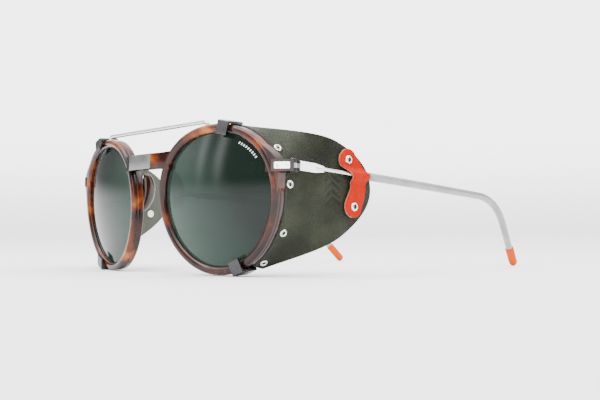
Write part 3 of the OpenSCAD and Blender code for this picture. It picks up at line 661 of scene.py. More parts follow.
@dataclass(frozen=True)
class EyePlane:
    """The eye shape and the plane it lies in. u runs outwards, v upwards and n forwards."""

    lens_w: float = 49.0
    lens_h: float = 47.6
    brow_flat: float = 0.5
    lift: float = 0.3
    corner_round: float = 0.15
    bridge_gap: float = 20.0
    rim_over: float = 2.3
    rim_t: float = 4.6
    lens_seat: float = 0.7
    wrap: float = 11.0
    tilt: float = 3.0
    centre_z: float = 26.1996

    @property
    def centre_x(self) -> float:
        """Distance of the eye's centre from the middle of the glasses."""
        return (self.lens_w + self.bridge_gap) / 2

    def radius(self, a: np.ndarray | float) -> np.ndarray | float:
        """Distance from the eye's centre to the lens edge, at angle a in degrees.

        A circle of the mean size, plus a second harmonic for the width, a third that flattens the
        brow, a first that lifts the widest point, and a fourth that squares the shape.
        """
        r = np.radians(a)
        return ((self.lens_w + self.lens_h) / 4 + (self.lens_w - self.lens_h) / 4 * np.cos(2 * r) + self.brow_flat * np.sin(3 * r) + self.lift * np.sin(r) - self.corner_round * np.cos(4 * r))

    def edge(self, a: np.ndarray, grow: np.ndarray | float) -> tuple[np.ndarray, np.ndarray]:
        """u and v of the point that lies grow outside the lens edge at angle a."""
        r = self.radius(a) + grow
        return r * np.cos(np.radians(a)), r * np.sin(np.radians(a))

    def world(self, u: np.ndarray, v: np.ndarray, n: np.ndarray) -> np.ndarray:
        """Carries eye-plane points to the glasses' frame: leant by tilt, then turned by wrap."""
        u, v, n = np.broadcast_arrays(np.asarray(u, float), np.asarray(v, float), np.asarray(n, float))
        t, w = np.radians(self.tilt), np.radians(self.wrap)
        y = -v * np.sin(t) - n * np.cos(t)
        return np.stack([self.centre_x + u * np.cos(w) - y * np.sin(w), u * np.sin(w) + y * np.cos(w), self.centre_z + v * np.cos(t) - n * np.sin(t)], -1)

    def at(self, a: np.ndarray, grow: np.ndarray | float, n: np.ndarray | float) -> np.ndarray:
        """The point at angle a, grow outside the lens edge and n in front of the rim's face."""
        u, v = self.edge(np.asarray(a, float), grow)
        return self.world(u, v, n)


@dataclass(frozen=True)
class HingeSizes:
    """Where the hinge is and how the plates round it are laid out."""

    x: float = 62.8901
    y: float = 10.4034
    z: float = 36.4996
    knuckle_r: float = 1.5
    end_h: float = 4.0
    arm_t: float = 1.6
    arm_h: float = 3.2
    arm_len: float = 12.0
    plaque_t: float = 0.7
    plaque_h: float = 2.2
    plaque_in: float = 1.1

    @property
    def arm_x(self) -> float:
        """Inner face of the flat arm."""
        return self.x + 0.9

    @property
    def end_back(self) -> float:
        """Rear face of the end piece."""
        return self.y - self.knuckle_r - 0.1


# ---- front ------------------------------------------------------------------------------


@dataclass
class Front:
    """The moulded front: two rims, the bridge and the end pieces, with pads, bar and plaques."""

    shop: Workshop
    eye: EyePlane
    hinge: HingeSizes
    bridge_face: float = 6.9
    bridge_h: float = 5.6
    bridge_up: float = 14.4
    bridge_t: float = 4.2
    bridge_proud: float = 2.6
    rim_steps: int = 168

    def build(self) -> None:
        """Builds every piece of the front."""
        moulding = self.rim().plus(self.end_piece()).plus(self.web())
        mirrored = Shape(moulding.points * np.array([-1.0, 1.0, 1.0]), [f[::-1] for f in moulding.faces], None, moulding.slots)
        whole = moulding.plus(mirrored).plus(self.bridge())
        f = self.shop.finishes
        front = self.shop.piece("tortoise_front", whole, [f.acetate, f.bridge_painted_reflection], bevel=0.35)
        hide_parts("front_frame")
        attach(front, "front")
        self.brow_bar()
        for side in Side:
            self.nose_pad(side)
            self.plaque(side)

    def rim(self) -> Shape:
        """One rim: a rounded section carried round the eye shape.

        The section's corners are (distance outside the lens edge, distance in front of the face),
        with a shallow groove round the outer wall.
        """
        e = self.eye
        out, seat, back = e.rim_over, -e.lens_seat, -e.rim_t
        section = rounded_loop([(seat, -0.9, 0.35), (seat + 0.75, -0.05, 0.5), (out - 0.7, 0.0, 0.55), (out, -0.9, 0.5), (out, -1.95, 0.08), (out - 0.24, -2.2, 0.1), (out, -2.45, 0.08), (out, back, 0.7), (seat, back, 0.5)], 4)
        a = np.linspace(0, 360, self.rim_steps, endpoint=False)[:, None]
        return tube(e.at(a, section[None, :, 0], section[None, :, 1]), closed=True)

    def end_piece(self) -> Shape:
        """The end piece: a plan outline carried up and down from the hinge's height."""
        e, h = self.eye, self.hinge
        root, front = e.at(24.0, 0.0, 0.0)[:2], e.at(24.0, e.rim_over, 0.0)[:2]
        end, leaf = np.array([h.arm_x + h.arm_t - h.plaque_t, h.end_back]), h.x - h.knuckle_r
        run = (end - front) / np.linalg.norm(end - front)
        stand = (h.plaque_t - 0.12) * np.array([run[1], -run[0]])
        edge = end + stand
        outline = np.array([root + [-1, 0.5], front + [-0.3, 0], front + stand, edge, [edge[0], h.end_back], [leaf + 0.1, h.end_back], [leaf + 0.1, h.end_back - 2], [root[0] - 1, h.end_back - 1]])
        return prism(outline, h.z - h.end_h / 2, h.z + h.end_h / 2)

    def web(self) -> Shape:
        """The fillets above and below the end piece: an eye-plane outline carried backwards."""
        e = self.eye
        marks = [(46, -0.4), (38, 0.25), (31, 1.3), (26, 2.0), (20, 2.0), (15, 1.1), (8, 0.2), (0, -0.4)]
        outer = np.array([np.ravel(e.edge(np.array(float(a)), e.rim_over + g)) for a, g in marks])
        outline = np.concatenate([outer, [np.ravel(e.edge(np.array(22.0), 0.9))]])
        rings = np.stack([e.world(outline[:, 0], outline[:, 1], np.full(len(outline), n)) for n in (-e.rim_t, -0.4)])
        return tube(rings)

    def bridge(self) -> Shape:
        """The bridge: rounded upright sections carried from rim to rim.

        At each x the section is a rounded box. Its front stands proud over the flat face and falls
        back to the rims outside it, and its height grows a little towards the rims. Its flat front
        faces take the second slot, a grey metal that is a painted reflection of the softbox on the tortoise.
        """
        e = self.eye
        angle = 180 - np.degrees(np.arcsin(self.bridge_up / (e.lens_h / 2 + e.lift)))
        root = e.at(angle, e.rim_over / 2, 0.0)
        face_y = e.at(180.0, e.rim_over, 0.0)[1] - self.bridge_proud
        face, end = self.bridge_face, root[0] - 0.1
        x = np.array([0, 3.5, face - 0.35, face - 0.08, face + 0.12, face + 0.5, (face + end) / 2, end - 1.0, end])
        k = np.clip((x - face) / (end - face), 0, 1)
        y0 = face_y + (root[1] + 0.4 - face_y) * k
        y0[3] += 0.06
        y0[4] += 0.22
        y1 = face_y + self.bridge_t + (root[1] + e.rim_t - 0.6 - face_y - self.bridge_t) * smooth_step(k)
        half = self.bridge_h / 2 + 0.5 * k**2
        x = np.concatenate([-x[:0:-1], x])
        y0, y1, half = (np.concatenate([v[:0:-1], v]) for v in (y0, y1, half))
        box = rounded_loop([(0, 1, 0.10), (0, -1, 0.10), (1, -1, 0.16), (1, 1, 0.16)], 4)
        rings = np.stack([np.broadcast_to(x[:, None], (len(x), len(box))), y0[:, None] + (y1 - y0)[:, None] * box[None, :, 0], e.centre_z + self.bridge_up + half[:, None] * box[None, :, 1]], -1)
        shape = tube(rings)
        centre = np.array([shape.points[f].mean(0) for f in shape.faces])
        # Slot 1 on the flat front faces is a painted reflection: grey metal where the tortoise reflects the softbox.
        shape.slots = ((np.abs(centre[:, 0]) < face) & (centre[:, 1] < face_y + 0.05)).astype(int)
        return shape

    def brow_bar(self) -> None:
        """The brow bar: a round section along a straight run with a quarter turn at each end."""
        e, d, span, y = self.eye, 1.5, 63.0, -0.6
        elbow = d / 2 + 0.3
        a = 90 + np.degrees(np.arcsin((e.centre_x - span / 2 - d / 2) / (e.lens_h / 2)))
        top = e.centre_z + (e.radius(a) + e.rim_over) * np.sin(np.radians(a)) * np.cos(np.radians(e.tilt)) + elbow + 0.1
        t = np.radians(np.linspace(0, 90, 12))
        right = np.column_stack([span / 2 - elbow + elbow * np.sin(t), top - elbow + elbow * np.cos(t)])
        right = np.concatenate([right, [[span / 2, top - elbow - 0.9]]])
        path = np.concatenate([right[::-1] * [-1, 1], right])
        lean = np.concatenate([t, [np.pi / 2]])
        lean = np.concatenate([-lean[::-1], lean])
        c = np.radians(np.linspace(0, 360, 20, endpoint=False))[None, :]
        r = d / 2
        rings = np.stack([path[:, :1] + r * np.cos(c) * np.sin(lean)[:, None], y + r * np.sin(c) + 0 * path[:, :1], path[:, 1:] + r * np.cos(c) * np.cos(lean)[:, None]], -1)
        bar = self.shop.piece("brow_wire", tube(rings), [self.shop.finishes.wire], bevel=0.12)
        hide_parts("brow_bar")
        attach(bar, "front")

    def nose_pad(self, side: Side) -> None:
        """A nose pad: an egg-like body carried from the rim's back, hollowed towards the nose.

        Rings run down the pad; each is an ellipse whose centre follows a shallow curve.
        """
        e, h = self.eye, self.hinge
        root = e.at(168.0, e.rim_over, -e.rim_t)
        s = np.linspace(0, 1, 26)
        fat = np.sqrt(np.clip(1 - (2 * s - 1) ** 2, 0, 1)) ** 0.8 + 0.02
        cx = root[0] + 1.3 + 2.6 * s**1.2
        cy = root[1] + 2.4 + 1.6 * np.sin(np.pi * s)
        cz = h.z + 0.9 - 14.2 * s
        c = np.radians(np.linspace(0, 360, 28, endpoint=False))[None, :]
        rings = np.stack([cx[:, None] + 1.5 * fat[:, None] * np.cos(c), cy[:, None] + 2.7 * fat[:, None] * np.sin(c), cz[:, None] + 0 * c], -1)
        pad = self.shop.piece("nose_rest", tube(rings), [self.shop.finishes.pad], side)
        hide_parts(f"nose_pad_{side.value}")
        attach(pad, "front")

    def plaque(self, side: Side) -> None:
        """The bright plate on the end piece: a rounded outline given a thickness, with two studs."""
        e, h = self.eye, self.hinge
        front = e.at(24.0, e.rim_over, 0.0)
        end = np.array([h.arm_x + h.arm_t - h.plaque_t, h.end_back])
        run = end - front[:2]
        length = float(np.linalg.norm(run))
        angle = float(np.degrees(np.arctan2(run[1], run[0])))
        w, k = length - h.plaque_in - 1.0, h.plaque_h / 2
        outline = rounded_loop([(0, -k, 0.35), (w, -k, 0.25), (w, k, 0.25), (0, k, 0.35)], 5)
        flat = prism(outline, 0.0, h.plaque_t - 0.05)
        flat.points = np.column_stack([flat.points[:, 0], flat.points[:, 2] - h.plaque_t, flat.points[:, 1]])
        c = np.linspace(0, 2 * np.pi, 20, endpoint=False)[None, :]
        t = np.radians(np.linspace(0, 84, 6))
        r = 0.34 * np.concatenate([[1.0], np.cos(t)])[:, None]
        lift = np.concatenate([[-0.2], 0.08 * np.sin(t)])[:, None]
        for at in (0.9, w - 0.9):
            stud = tube(np.stack([at + r * np.cos(c), -h.plaque_t - lift + 0 * c, r * np.sin(c)], -1))
            flat = flat.plus(stud)
        if prism(outline, 0.0, 1.0).volume() > 0:
            flat.faces[: len(outline) + 2] = [f[::-1] for f in flat.faces[: len(outline) + 2]]
        flat.points = turn(flat.points + np.array([h.plaque_in, 0, 0]), "z", angle) + np.array([front[0], front[1], h.z])
        plate = self.shop.piece("end_plate", flat, [self.shop.finishes.chrome], side, bevel=0.12)
        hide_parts(f"hinge_plaque_{side.value}")
        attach(plate, "front")


@dataclass
class Lens:
    """A curved tinted lens with a small etched arc of plain dashes."""

    shop: Workshop
    eye: EyePlane
    curve: float = 88.0
    bulge: float = 1.6
    thick: float = 2.0

    def surface(self, u: np.ndarray, v: np.ndarray, depth: float) -> np.ndarray:
        """Height of the lens's face at u, v: a sphere of the lens curve, depth below the front face."""
        r = self.curve - depth
        return self.bulge - self.curve + np.sqrt(r * r - u * u - v * v)

    def build(self, side: Side) -> None:
        """Builds the lens, and the etched arc on the left lens."""
        e = self.eye
        a = np.linspace(0, 360, 120, endpoint=False)
        shares = np.array([0.02, 0.1, 0.2, 0.3, 0.4, 0.5, 0.6, 0.7, 0.8, 0.9, 0.96, 0.994])
        rings = []
        u0, v0 = e.edge(a, -0.05)
        for k in shares:
            u, v = u0 * k, v0 * k
            rings.append(e.world(u, v, self.surface(u, v, 0.0)))
        rings.append(e.world(u0, v0, self.surface(u0, v0, 0.15)))
        rings.append(e.world(u0, v0, self.surface(u0, v0, self.thick - 0.15)))
        for k in shares[::-1]:
            u, v = u0 * k, v0 * k
            rings.append(e.world(u, v, self.surface(u, v, self.thick)))
        lens = self.shop.piece("lens_glass", tube(np.stack(rings)), [self.shop.finishes.lens], side)
        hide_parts(f"lens_{side.value}")
        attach(lens, "front")
        if side is Side.LEFT:
            self.etched_arc(side)

    def etched_arc(self, side: Side) -> None:
        """Nine short dashes along the edge near the brow, each a thin plate on the lens's face."""
        e = self.eye
        whole: Shape | None = None
        for a in np.linspace(37, 59, 9):
            t = np.array([a - 0.6, a + 0.6, a + 0.6, a - 0.6])
            u, v = e.edge(t, np.array([-3.1, -3.1, -2.3, -2.3]))
            n = self.surface(u, v, 0.0)
            dash = tube(np.stack([e.world(u, v, n - 0.03), e.world(u, v, n + 0.03)]))
            whole = dash if whole is None else whole.plus(dash)
        marks = self.shop.piece("lens_dashes", whole, [self.shop.finishes.etch], side, smooth=False)
        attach(marks, "front")


@dataclass
class ShieldFittings:
    """The hooks that clip a shield's carrier over the rim."""

    shop: Workshop
    eye: EyePlane
    width: float = 4.6
    thick: float = 0.9
    over: float = 0.3
    reach: float = 1.4
    proud: float = 0.15
    carrier_outer: float = 1.05
    bulge: float = 1.6

    def build(self, side: Side) -> None:
        """Builds both hooks of a side."""
        ring = self.eye.lens_w / 2 + self.eye.rim_over + self.over
        top = 70 + np.degrees(np.arcsin((self.width / 2 + 1) / ring))
        bottom = -62 - np.degrees(np.arcsin((self.width / 2 + 0.5) / ring))
        for place, angle in (("top", float(top)), ("bottom", float(bottom))):
            hook = self.shop.piece(f"rim_hook_{place}", self.hook(angle), [self.shop.finishes.gunmetal], side, bevel=0.2)
            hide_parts(f"shield_hook_{place}_{side.value}")
            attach(hook, "front")

    def hook(self, angle: float) -> Shape:
        """A bent plate: a section in (distance from the eye's centre, n), carried across the hook's width.

        The section's corners are rounded.
        """
        e = self.eye
        r, t, back = float(e.radius(angle)), self.thick, -e.rim_t - 2.2
        outer, lip = r + e.rim_over + self.over, self.proud + self.bulge / 4
        front = self.proud + t
        section = rounded_loop([(r + self.carrier_outer + 0.05, back, 0.2), (outer + t, back, 0.35), (outer + t, front, 0.5), (r - self.reach, lip + t, 0.3), (r - self.reach, lip, 0.15), (outer, self.proud, 0.12), (outer, back + t, 0.2), (r + self.carrier_outer + 0.05, back + t, 0.2)], 4)
        w = np.array([-1, 1]) * self.width / 2
        x = np.broadcast_to(section[None, :, 0], (2, len(section)))
        y = np.broadcast_to(w[:, None], (2, len(section)))
        n = np.broadcast_to(section[None, :, 1], (2, len(section)))
        c, s = np.cos(np.radians(angle)), np.sin(np.radians(angle))
        return tube(e.world(x * c - y * s, x * s + y * c, n))


# ---- temples ----------------------------------------------------------------------------


@dataclass(frozen=True)
class TempleRun:
    """The line that a temple follows, from the hinge to the tip."""

    x: float = 64.8401
    y: float = 11.4034
    z: float = 36.4996
    slope: float = 3.8
    straight: float = 37.0
    bow_r: float = 900.0
    bow_len: float = 66.0
    ear_r: float = 35.0
    ear_angle: float = 44.0
    ear_lean: float = 13.0
    leg: float = 23.0

    @property
    def ear_start(self) -> float:
        """Length along the run at which the ear bend begins."""
        return self.straight + self.bow_len

    @property
    def leg_start(self) -> float:
        """Length along the run at which the straight leg begins."""
        return self.ear_start + self.ear_r * np.radians(self.ear_angle)

    def place(self, local: np.ndarray) -> np.ndarray:
        """Carries points of the run's own frame to the glasses' frame."""
        return turn(local, "x", -self.slope) + np.array([self.x, self.y, self.z])

    def frame_at(self, s: np.ndarray, across: np.ndarray) -> np.ndarray:
        """Points round the run: straight, then an arc inwards, then the ear bend, then the leg.

        Args:
            s: (N,) lengths along the run.
            across: (N, M, 3) offsets from the line, with y along it.

        Returns:
            (N, M, 3) points.
        """
        bow = np.degrees(np.clip(s - self.straight, 0, self.bow_len) / self.bow_r)
        ear = np.clip(np.degrees((s - self.ear_start) / self.ear_r), 0, self.ear_angle)
        leg = np.clip(s - self.leg_start, 0, None)
        b, e = np.radians(bow), np.radians(ear)
        bend = np.stack([0 * s, self.ear_r * np.sin(e) + leg * np.cos(e), -self.ear_r * (1 - np.cos(e)) - leg * np.sin(e)], -1)
        base = np.stack([self.bow_r * (np.cos(b) - 1), np.minimum(s, self.straight) + self.bow_r * np.sin(b), 0 * s], -1)
        centre = base + turn(turn(bend, "y", self.ear_lean), "z", bow)
        ring = turn(turn(turn(across, "x", -ear[:, None]), "y", self.ear_lean), "z", bow[:, None])
        return self.place(centre[:, None, :] + ring)

    def round_tube(self, s: np.ndarray, r: np.ndarray, sides: int = 24) -> Shape:
        """A tube along the run whose radius r may change with s."""
        c = np.radians(np.linspace(0, 360, sides, endpoint=False))[None, :]
        across = np.stack([r[:, None] * np.cos(c), 0 * r[:, None] * c, r[:, None] * np.sin(c)], -1)
        return tube(self.frame_at(s, across))


@dataclass
class Temple:
    """One temple: flat forked arm, wire core, sleeve and rubber tip."""

    shop: Workshop
    run: TempleRun
    hinge: HingeSizes
    wire_r: float = 0.7
    sleeve_r: float = 1.5
    sleeve_start: float = 33.2966
    tip_r: float = 1.8
    tip_len: float = 10.5

    def build(self, side: Side) -> None:
        """Builds the pieces of one temple."""
        f, run = self.shop.finishes, self.run
        leg_end = run.leg_start + run.leg
        tip_start = leg_end - self.tip_len + self.tip_r
        bend = np.linspace(run.ear_start, run.leg_start, 22)
        wire_s = np.concatenate([[7.0, 7.15, 12.0, run.straight], np.linspace(run.straight + 8, run.ear_start - 8, 5), bend, [tip_start + 6.0]])
        wire_r = np.full(len(wire_s), self.wire_r)
        wire_r[0] *= 0.7
        self.add("temple_core", run.round_tube(wire_s, wire_r, 20), f.wire, side, "temple_wire", "wire")
        s0 = self.sleeve_start
        mid = np.concatenate([[run.straight], np.linspace(run.straight + 8, run.ear_start - 8, 7), bend])
        end = tip_start - 0.05
        sleeve_s = np.concatenate([[s0, s0, s0 + 0.12, s0 + 0.4], mid, [end - 0.3, end - 0.08, end]])
        sleeve_r = np.full(len(sleeve_s), self.sleeve_r)
        sleeve_r[:4] = [0.76, self.sleeve_r - 0.3, self.sleeve_r - 0.1, self.sleeve_r]
        sleeve_r[-2:] = [self.sleeve_r - 0.06, self.sleeve_r - 0.25]
        self.add("temple_jacket", run.round_tube(sleeve_s, sleeve_r), f.sleeve, side, "temple_sleeve", "sleeve")
        t = np.radians(np.linspace(0, 84, 9))
        tip_s = np.concatenate([[tip_start, tip_start + 0.12, tip_start + 0.4], [leg_end - 3.2, leg_end - 3.0, leg_end - 2.8], leg_end + self.tip_r * np.sin(t)])
        tip_r = np.concatenate([[self.tip_r - 0.3, self.tip_r - 0.08, self.tip_r], [self.tip_r, self.tip_r - 0.08, self.tip_r], self.tip_r * np.cos(t)])
        self.add("soft_tip", run.round_tube(tip_s, tip_r), f.tip, side, "temple_tip", "tip")
        self.add("temple_plate", self.arm(), f.chrome, side, "temple_arm", "plaque", 0.18)

    def add(self, name: str, shape: Shape, material: bpy.types.Material, side: Side, node: str, slot: str, bevel: float = 0.0) -> None:
        """Makes a piece that rides on its temple and stands for a node."""
        thing = self.shop.piece(name, shape, [material], side, bevel=bevel)
        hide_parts(f"{node}_{side.value}")
        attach(thing, f"temple_{side.value}")

    def arm(self) -> Shape:
        """The flat arm: a side outline with a forked rear end, carried across its thickness.

        The outline is straight along the top and bottom, narrows, and ends in two prongs with the
        wire between them.
        """
        h = self.hinge
        k, length, start = h.arm_h / 2, h.arm_len, 0.9
        upper = [(start, k), (length - 4.2, k), (length - 2.4, k - 0.25), (length - 0.2, k - 0.55), (length, k - 0.75), (length - 0.2, 0.55), (length - 3.0, 0.5), (length - 3.4, 0.2)]
        lower = [(y, -z) for y, z in upper[::-1]]
        outline = np.array(upper + lower)
        shape = prism(outline, h.arm_x, h.arm_x + h.arm_t)
        local = np.column_stack([shape.points[:, 2], shape.points[:, 0], shape.points[:, 1]])
        shape.points = turn(local * np.array([0, 1, 1]), "x", -self.run.slope) + np.column_stack([local[:, 0], np.full(len(local), h.y), np.full(len(local), h.z)])
        if shape.volume() < 0:
            shape.faces = [f[::-1] for f in shape.faces]
        return shape


# ---- leather ----------------------------------------------------------------------------


@dataclass
class SideShield:
    """A leather side shield with its eyelets, and the strap loop that ties it to the temple."""

    shop: Workshop
    eye: EyePlane
    hinge: HingeSizes
    run: TempleRun
    leather_t: float = 1.6
    back: float = 48.0
    low_angle: float = 62.0
    high_angle: float = 70.0
    flare: float = 24.0
    plane_x: float = 63.0901
    strap_t: float = 1.3
    eyelet_d: float = 2.9
    eyelet_hole: float = 1.3
    rivet_d: float = 3.3
    lobe_r: float = 4.0

    def front_edge(self, t: np.ndarray) -> np.ndarray:
        """The edge behind the rim, from the bottom (t = 0) to the top (t = 1)."""
        a = (self.low_angle + self.high_angle) * t - self.low_angle
        return self.eye.at(a, self.eye.rim_over + 0.5, -self.eye.rim_t - 0.25)

    def rear_edge(self, t: np.ndarray) -> np.ndarray:
        """(y, z) of the rear edge: two cubic curves that meet in the rounded point."""
        tip = self.hinge.z - 6.6
        low, high = self.front_edge(np.array(0.0)), self.front_edge(np.array(1.0))
        a = np.array([[low[1] + 3.2, low[2] - 0.8], [self.back - 19, tip - 18.5], [self.back, tip - 11], [self.back, tip]])
        b = np.array([[self.back, tip], [self.back, tip + 12], [self.back - 18, tip + 18], [high[1] + 2.6, high[2] - 0.3]])
        k = np.where(t < 0.5, 2 * t, 2 * t - 1)[..., None]
        p = np.where((t < 0.5)[..., None, None], a, b)
        return (1 - k) ** 3 * p[..., 0, :] + 3 * (1 - k) ** 2 * k * p[..., 1, :] + 3 * (1 - k) * k * k * p[..., 2, :] + k**3 * p[..., 3, :]

    def point(self, s: np.ndarray, t: np.ndarray) -> np.ndarray:
        """The leather's outer face: straight lines from the front edge to the rear edge, seen from
        the side, while x eases from the rim out to the flat plane over the flare's length."""
        f, e = self.front_edge(t), self.rear_edge(t)
        d = (e[..., 0] - f[..., 1]) * s
        return np.stack([f[..., 0] + (self.plane_x - f[..., 0]) * smooth_step(d / self.flare), f[..., 1] + d, f[..., 2] + (e[..., 1] - f[..., 2]) * s], -1)

    def normal(self, s: np.ndarray, t: np.ndarray) -> np.ndarray:
        """Outward normal of the leather's outer face, from differences along s and t."""
        h = 0.01
        a = self.point(np.minimum(s + h, 1), t) - self.point(np.maximum(s - h, 0), t)
        b = self.point(s, np.minimum(t + h, 1)) - self.point(s, np.maximum(t - h, 0))
        n = np.cross(a, b)
        return n / np.linalg.norm(n, axis=-1, keepdims=True)

    def build(self, side: Side) -> None:
        """Builds the leather, the eyelets, the strap and its rivets."""
        self.leather(side)
        self.eyelets(side)
        self.strap(side)
        self.rivets(side)

    def leather(self, side: Side) -> None:
        """The leather: outer and inner face a thickness apart, with rounded cut edges.

        Near the edge both faces draw together as a quarter circle does, so the edge is round. The
        faces are also moved by a slow wave of 0.1 mm, as worn leather is never quite even.
        """
        near = np.array([0.0, 0.0025, 0.007, 0.014, 0.024])
        s = np.concatenate([near, np.linspace(0.04, 0.96, 44), 1 - near[::-1]])
        t = np.concatenate([near / 2.2, np.linspace(0.02, 0.98, 92), 1 - near[::-1] / 2.2])
        S, T = np.meshgrid(s, t, indexing="ij")
        P, N = self.point(S, T), self.normal(S, T)
        f, e = self.front_edge(T), self.rear_edge(T)
        length = np.hypot(e[..., 0] - f[..., 1], e[..., 1] - f[..., 2])
        border = np.minimum(np.minimum(S, 1 - S) * length, np.minimum(T, 1 - T) * 62.0)
        round_r = 0.45
        sink = round_r - np.sqrt(np.clip(round_r**2 - np.clip(round_r - border, 0, None) ** 2, 0, None))
        wave = 0.07 * (np.sin(P[..., 1] * 0.45 + P[..., 2] * 0.21) * np.sin(P[..., 2] * 0.33 - P[..., 1] * 0.12) + 0.6 * np.sin(P[..., 2] * 0.9 + P[..., 1] * 0.35)) * smooth_step(border / 4)
        outer = P - N * (0.08 + sink + wave)[..., None]
        inner = P - N * (self.leather_t - sink + wave)[..., None]
        rows, cols = S.shape
        points = np.concatenate([outer.reshape(-1, 3), inner.reshape(-1, 3)])
        count = rows * cols
        up = grid_faces(rows, cols)
        down = grid_faces(rows, cols, start=count)[:, ::-1]
        ring = np.concatenate([np.arange(cols), np.arange(1, rows) * cols + cols - 1, (rows - 1) * cols + np.arange(cols - 2, -1, -1), np.arange(rows - 2, 0, -1) * cols])
        nxt = np.roll(ring, -1)
        wall = np.stack([ring, ring + count, nxt + count, nxt], -1)
        faces = np.concatenate([up, down, wall])
        rim_face = (border.ravel()[up] < 0.3).all(1)
        slots = np.concatenate([np.where(rim_face, 2, 0), np.where((border.ravel()[down - count] < 0.3).all(1), 2, 1), np.full(len(wall), 2)])
        uv = np.concatenate([np.column_stack([(S * length).ravel(), (T * 62.0).ravel()])] * 2)
        shape = Shape(points, faces.tolist(), uv, slots)
        if shape.volume() < 0:
            shape.faces = [q[::-1] for q in shape.faces]
        g = self.shop.finishes
        hide = self.shop.piece("leather_shield", shape, [g.hide, g.suede, g.raw_edge], side)
        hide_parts(f"side_shield_{side.value}")
        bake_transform(hide)

    def eyelets(self, side: Side) -> None:
        """Four eyelets near the front edge: a rounded ring turned about its axis, with its barrel."""
        whole: Shape | None = None
        ro, ri, barrel = self.eyelet_d / 2, self.eyelet_hole / 2, self.leather_t + 0.55
        profile = rounded_loop([(ri, -barrel, 0.05), (ri, 0.22, 0.12), (ri + 0.28, 0.45, 0.18), (ro - 0.25, 0.38, 0.2), (ro, 0.05, 0.1), (ri + 0.2, 0.03, 0.05), (ri + 0.2, -barrel, 0.05)], 4)
        for a in (-56.0, -27.0, 8.5, 36.0):
            t = np.array((a + self.low_angle) / (self.low_angle + self.high_angle))
            f, e = self.front_edge(t), self.rear_edge(t)
            s = np.array((ro + 0.35) / np.hypot(e[0] - f[1], e[1] - f[2]))
            ring = lathe(profile)
            n = self.normal(s, t)
            spin = Vector(n).to_track_quat("Z", "Y").to_matrix()
            ring.points = ring.points @ np.array(spin).T + self.point(s, t)
            whole = ring if whole is None else whole.plus(ring)
        rings = self.shop.piece("shield_rings", whole, [self.shop.finishes.eyelet], side)
        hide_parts(f"shield_eyelets_{side.value}")
        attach(rings, "front")

    @property
    def strap_middle(self) -> float:
        """The strap's middle, from the start of the temple's run."""
        return self.back - 8.9 - self.run.y

    @property
    def strap_base(self) -> float:
        """The strap's inner face, from the middle of the wire."""
        return self.plane_x + 0.1 - self.run.x

    @property
    def strap_half(self) -> float:
        """Half of the length over which the strap rises: it ends short of the upper rivet."""
        return 4.8 - self.rivet_d / 2 - 0.05

    def strap_line(self, z: np.ndarray) -> np.ndarray:
        """The strap's inner face at height z: flat, with a cosine-squared rise over the sleeve."""
        rise, half = 1.05 - self.strap_base, self.strap_half
        return self.strap_base + np.where(np.abs(z) < half, rise * np.cos(np.pi / 2 * np.clip(z / half, -1, 1)) ** 2, 0.0)

    def strap(self, side: Side) -> None:
        """The strap: a crescent ribbon. u runs down its middle line and v across it.

        The middle line is a smooth curve through four stations, the half width eases between the
        lobes' radii and closes as a half circle at each end, and the thickness follows strap_line.
        """
        m = self.strap_middle
        knots = np.array([[m - 4.3, 4.8], [m + 0.8, 0.5], [m + 1.8, -5.0], [m - 0.5, -11.1]])
        lobe = self.lobe_r
        widths = np.array([lobe, 3.5, 3.5, lobe])
        way = np.concatenate([[0], np.cumsum(np.linalg.norm(np.diff(knots, axis=0), axis=1))])
        d0 = (knots[1] - knots[0]) / (way[1] - way[0])
        d1 = (knots[3] - knots[2]) / (way[3] - way[2])
        u = np.concatenate([-lobe * np.cos(np.linspace(0.12, np.pi / 2, 12))[:-1], np.linspace(0, way[-1], 40), way[-1] + lobe * np.sin(np.linspace(0, np.pi / 2 - 0.12, 12))[1:]])
        inside = np.clip(u, 0, way[-1])
        line = np.column_stack([np.interp(inside, way, knots[:, k]) for k in (0, 1)])
        soft = np.array([np.exp(-0.5 * ((inside - c) / 1.3) ** 2) for c in inside])
        line = soft @ line / soft.sum(1, keepdims=True)
        line += np.where(u < 0, u, 0)[:, None] * d0 + np.where(u > way[-1], u - way[-1], 0)[:, None] * d1
        over = np.maximum(np.maximum(-u, u - way[-1]), 0)
        half = np.sqrt(np.clip(np.interp(inside, way, widths) ** 2 - over**2, 0.01, None))
        along = np.gradient(line, axis=0)
        along /= np.linalg.norm(along, axis=1, keepdims=True)
        across = np.column_stack([-along[:, 1], along[:, 0]])
        v = np.concatenate([[-1, -0.985, -0.95, -0.89], np.linspace(-0.8, 0.8, 17), [0.89, 0.95, 0.985, 1]])
        Y = line[:, None, 0] + across[:, None, 0] * half[:, None] * v
        Z = line[:, None, 1] + across[:, None, 1] * half[:, None] * v
        ends = np.minimum(np.abs(u + lobe), np.abs(way[-1] + lobe - u))[:, None]
        border = np.minimum((1 - np.abs(v))[None, :] * half[:, None], ends)
        r = 0.35
        sink = r - np.sqrt(np.clip(r**2 - np.clip(r - border, 0, None) ** 2, 0, None))
        low, high = self.strap_line(Z) + sink + 0.02, self.strap_line(Z) + self.strap_t - sink
        rows, cols = Y.shape
        outer = self.run.place(np.stack([high, Y, Z], -1)).reshape(-1, 3)
        inner = self.run.place(np.stack([low, Y, Z], -1)).reshape(-1, 3)
        count = rows * cols
        up = grid_faces(rows, cols)
        down = grid_faces(rows, cols, start=count)[:, ::-1]
        ring = np.concatenate([np.arange(cols), np.arange(1, rows) * cols + cols - 1, (rows - 1) * cols + np.arange(cols - 2, -1, -1), np.arange(rows - 2, 0, -1) * cols])
        nxt = np.roll(ring, -1)
        wall = np.stack([ring, ring + count, nxt + count, nxt], -1)
        faces = np.concatenate([up, down, wall])
        slots = np.concatenate([np.zeros(len(up), int), np.ones(len(down), int), np.ones(len(wall), int)])
        shape = Shape(np.concatenate([outer, inner]), faces.tolist(), None, slots)
        if shape.volume() < 0:
            shape.faces = [q[::-1] for q in shape.faces]
        g = self.shop.finishes
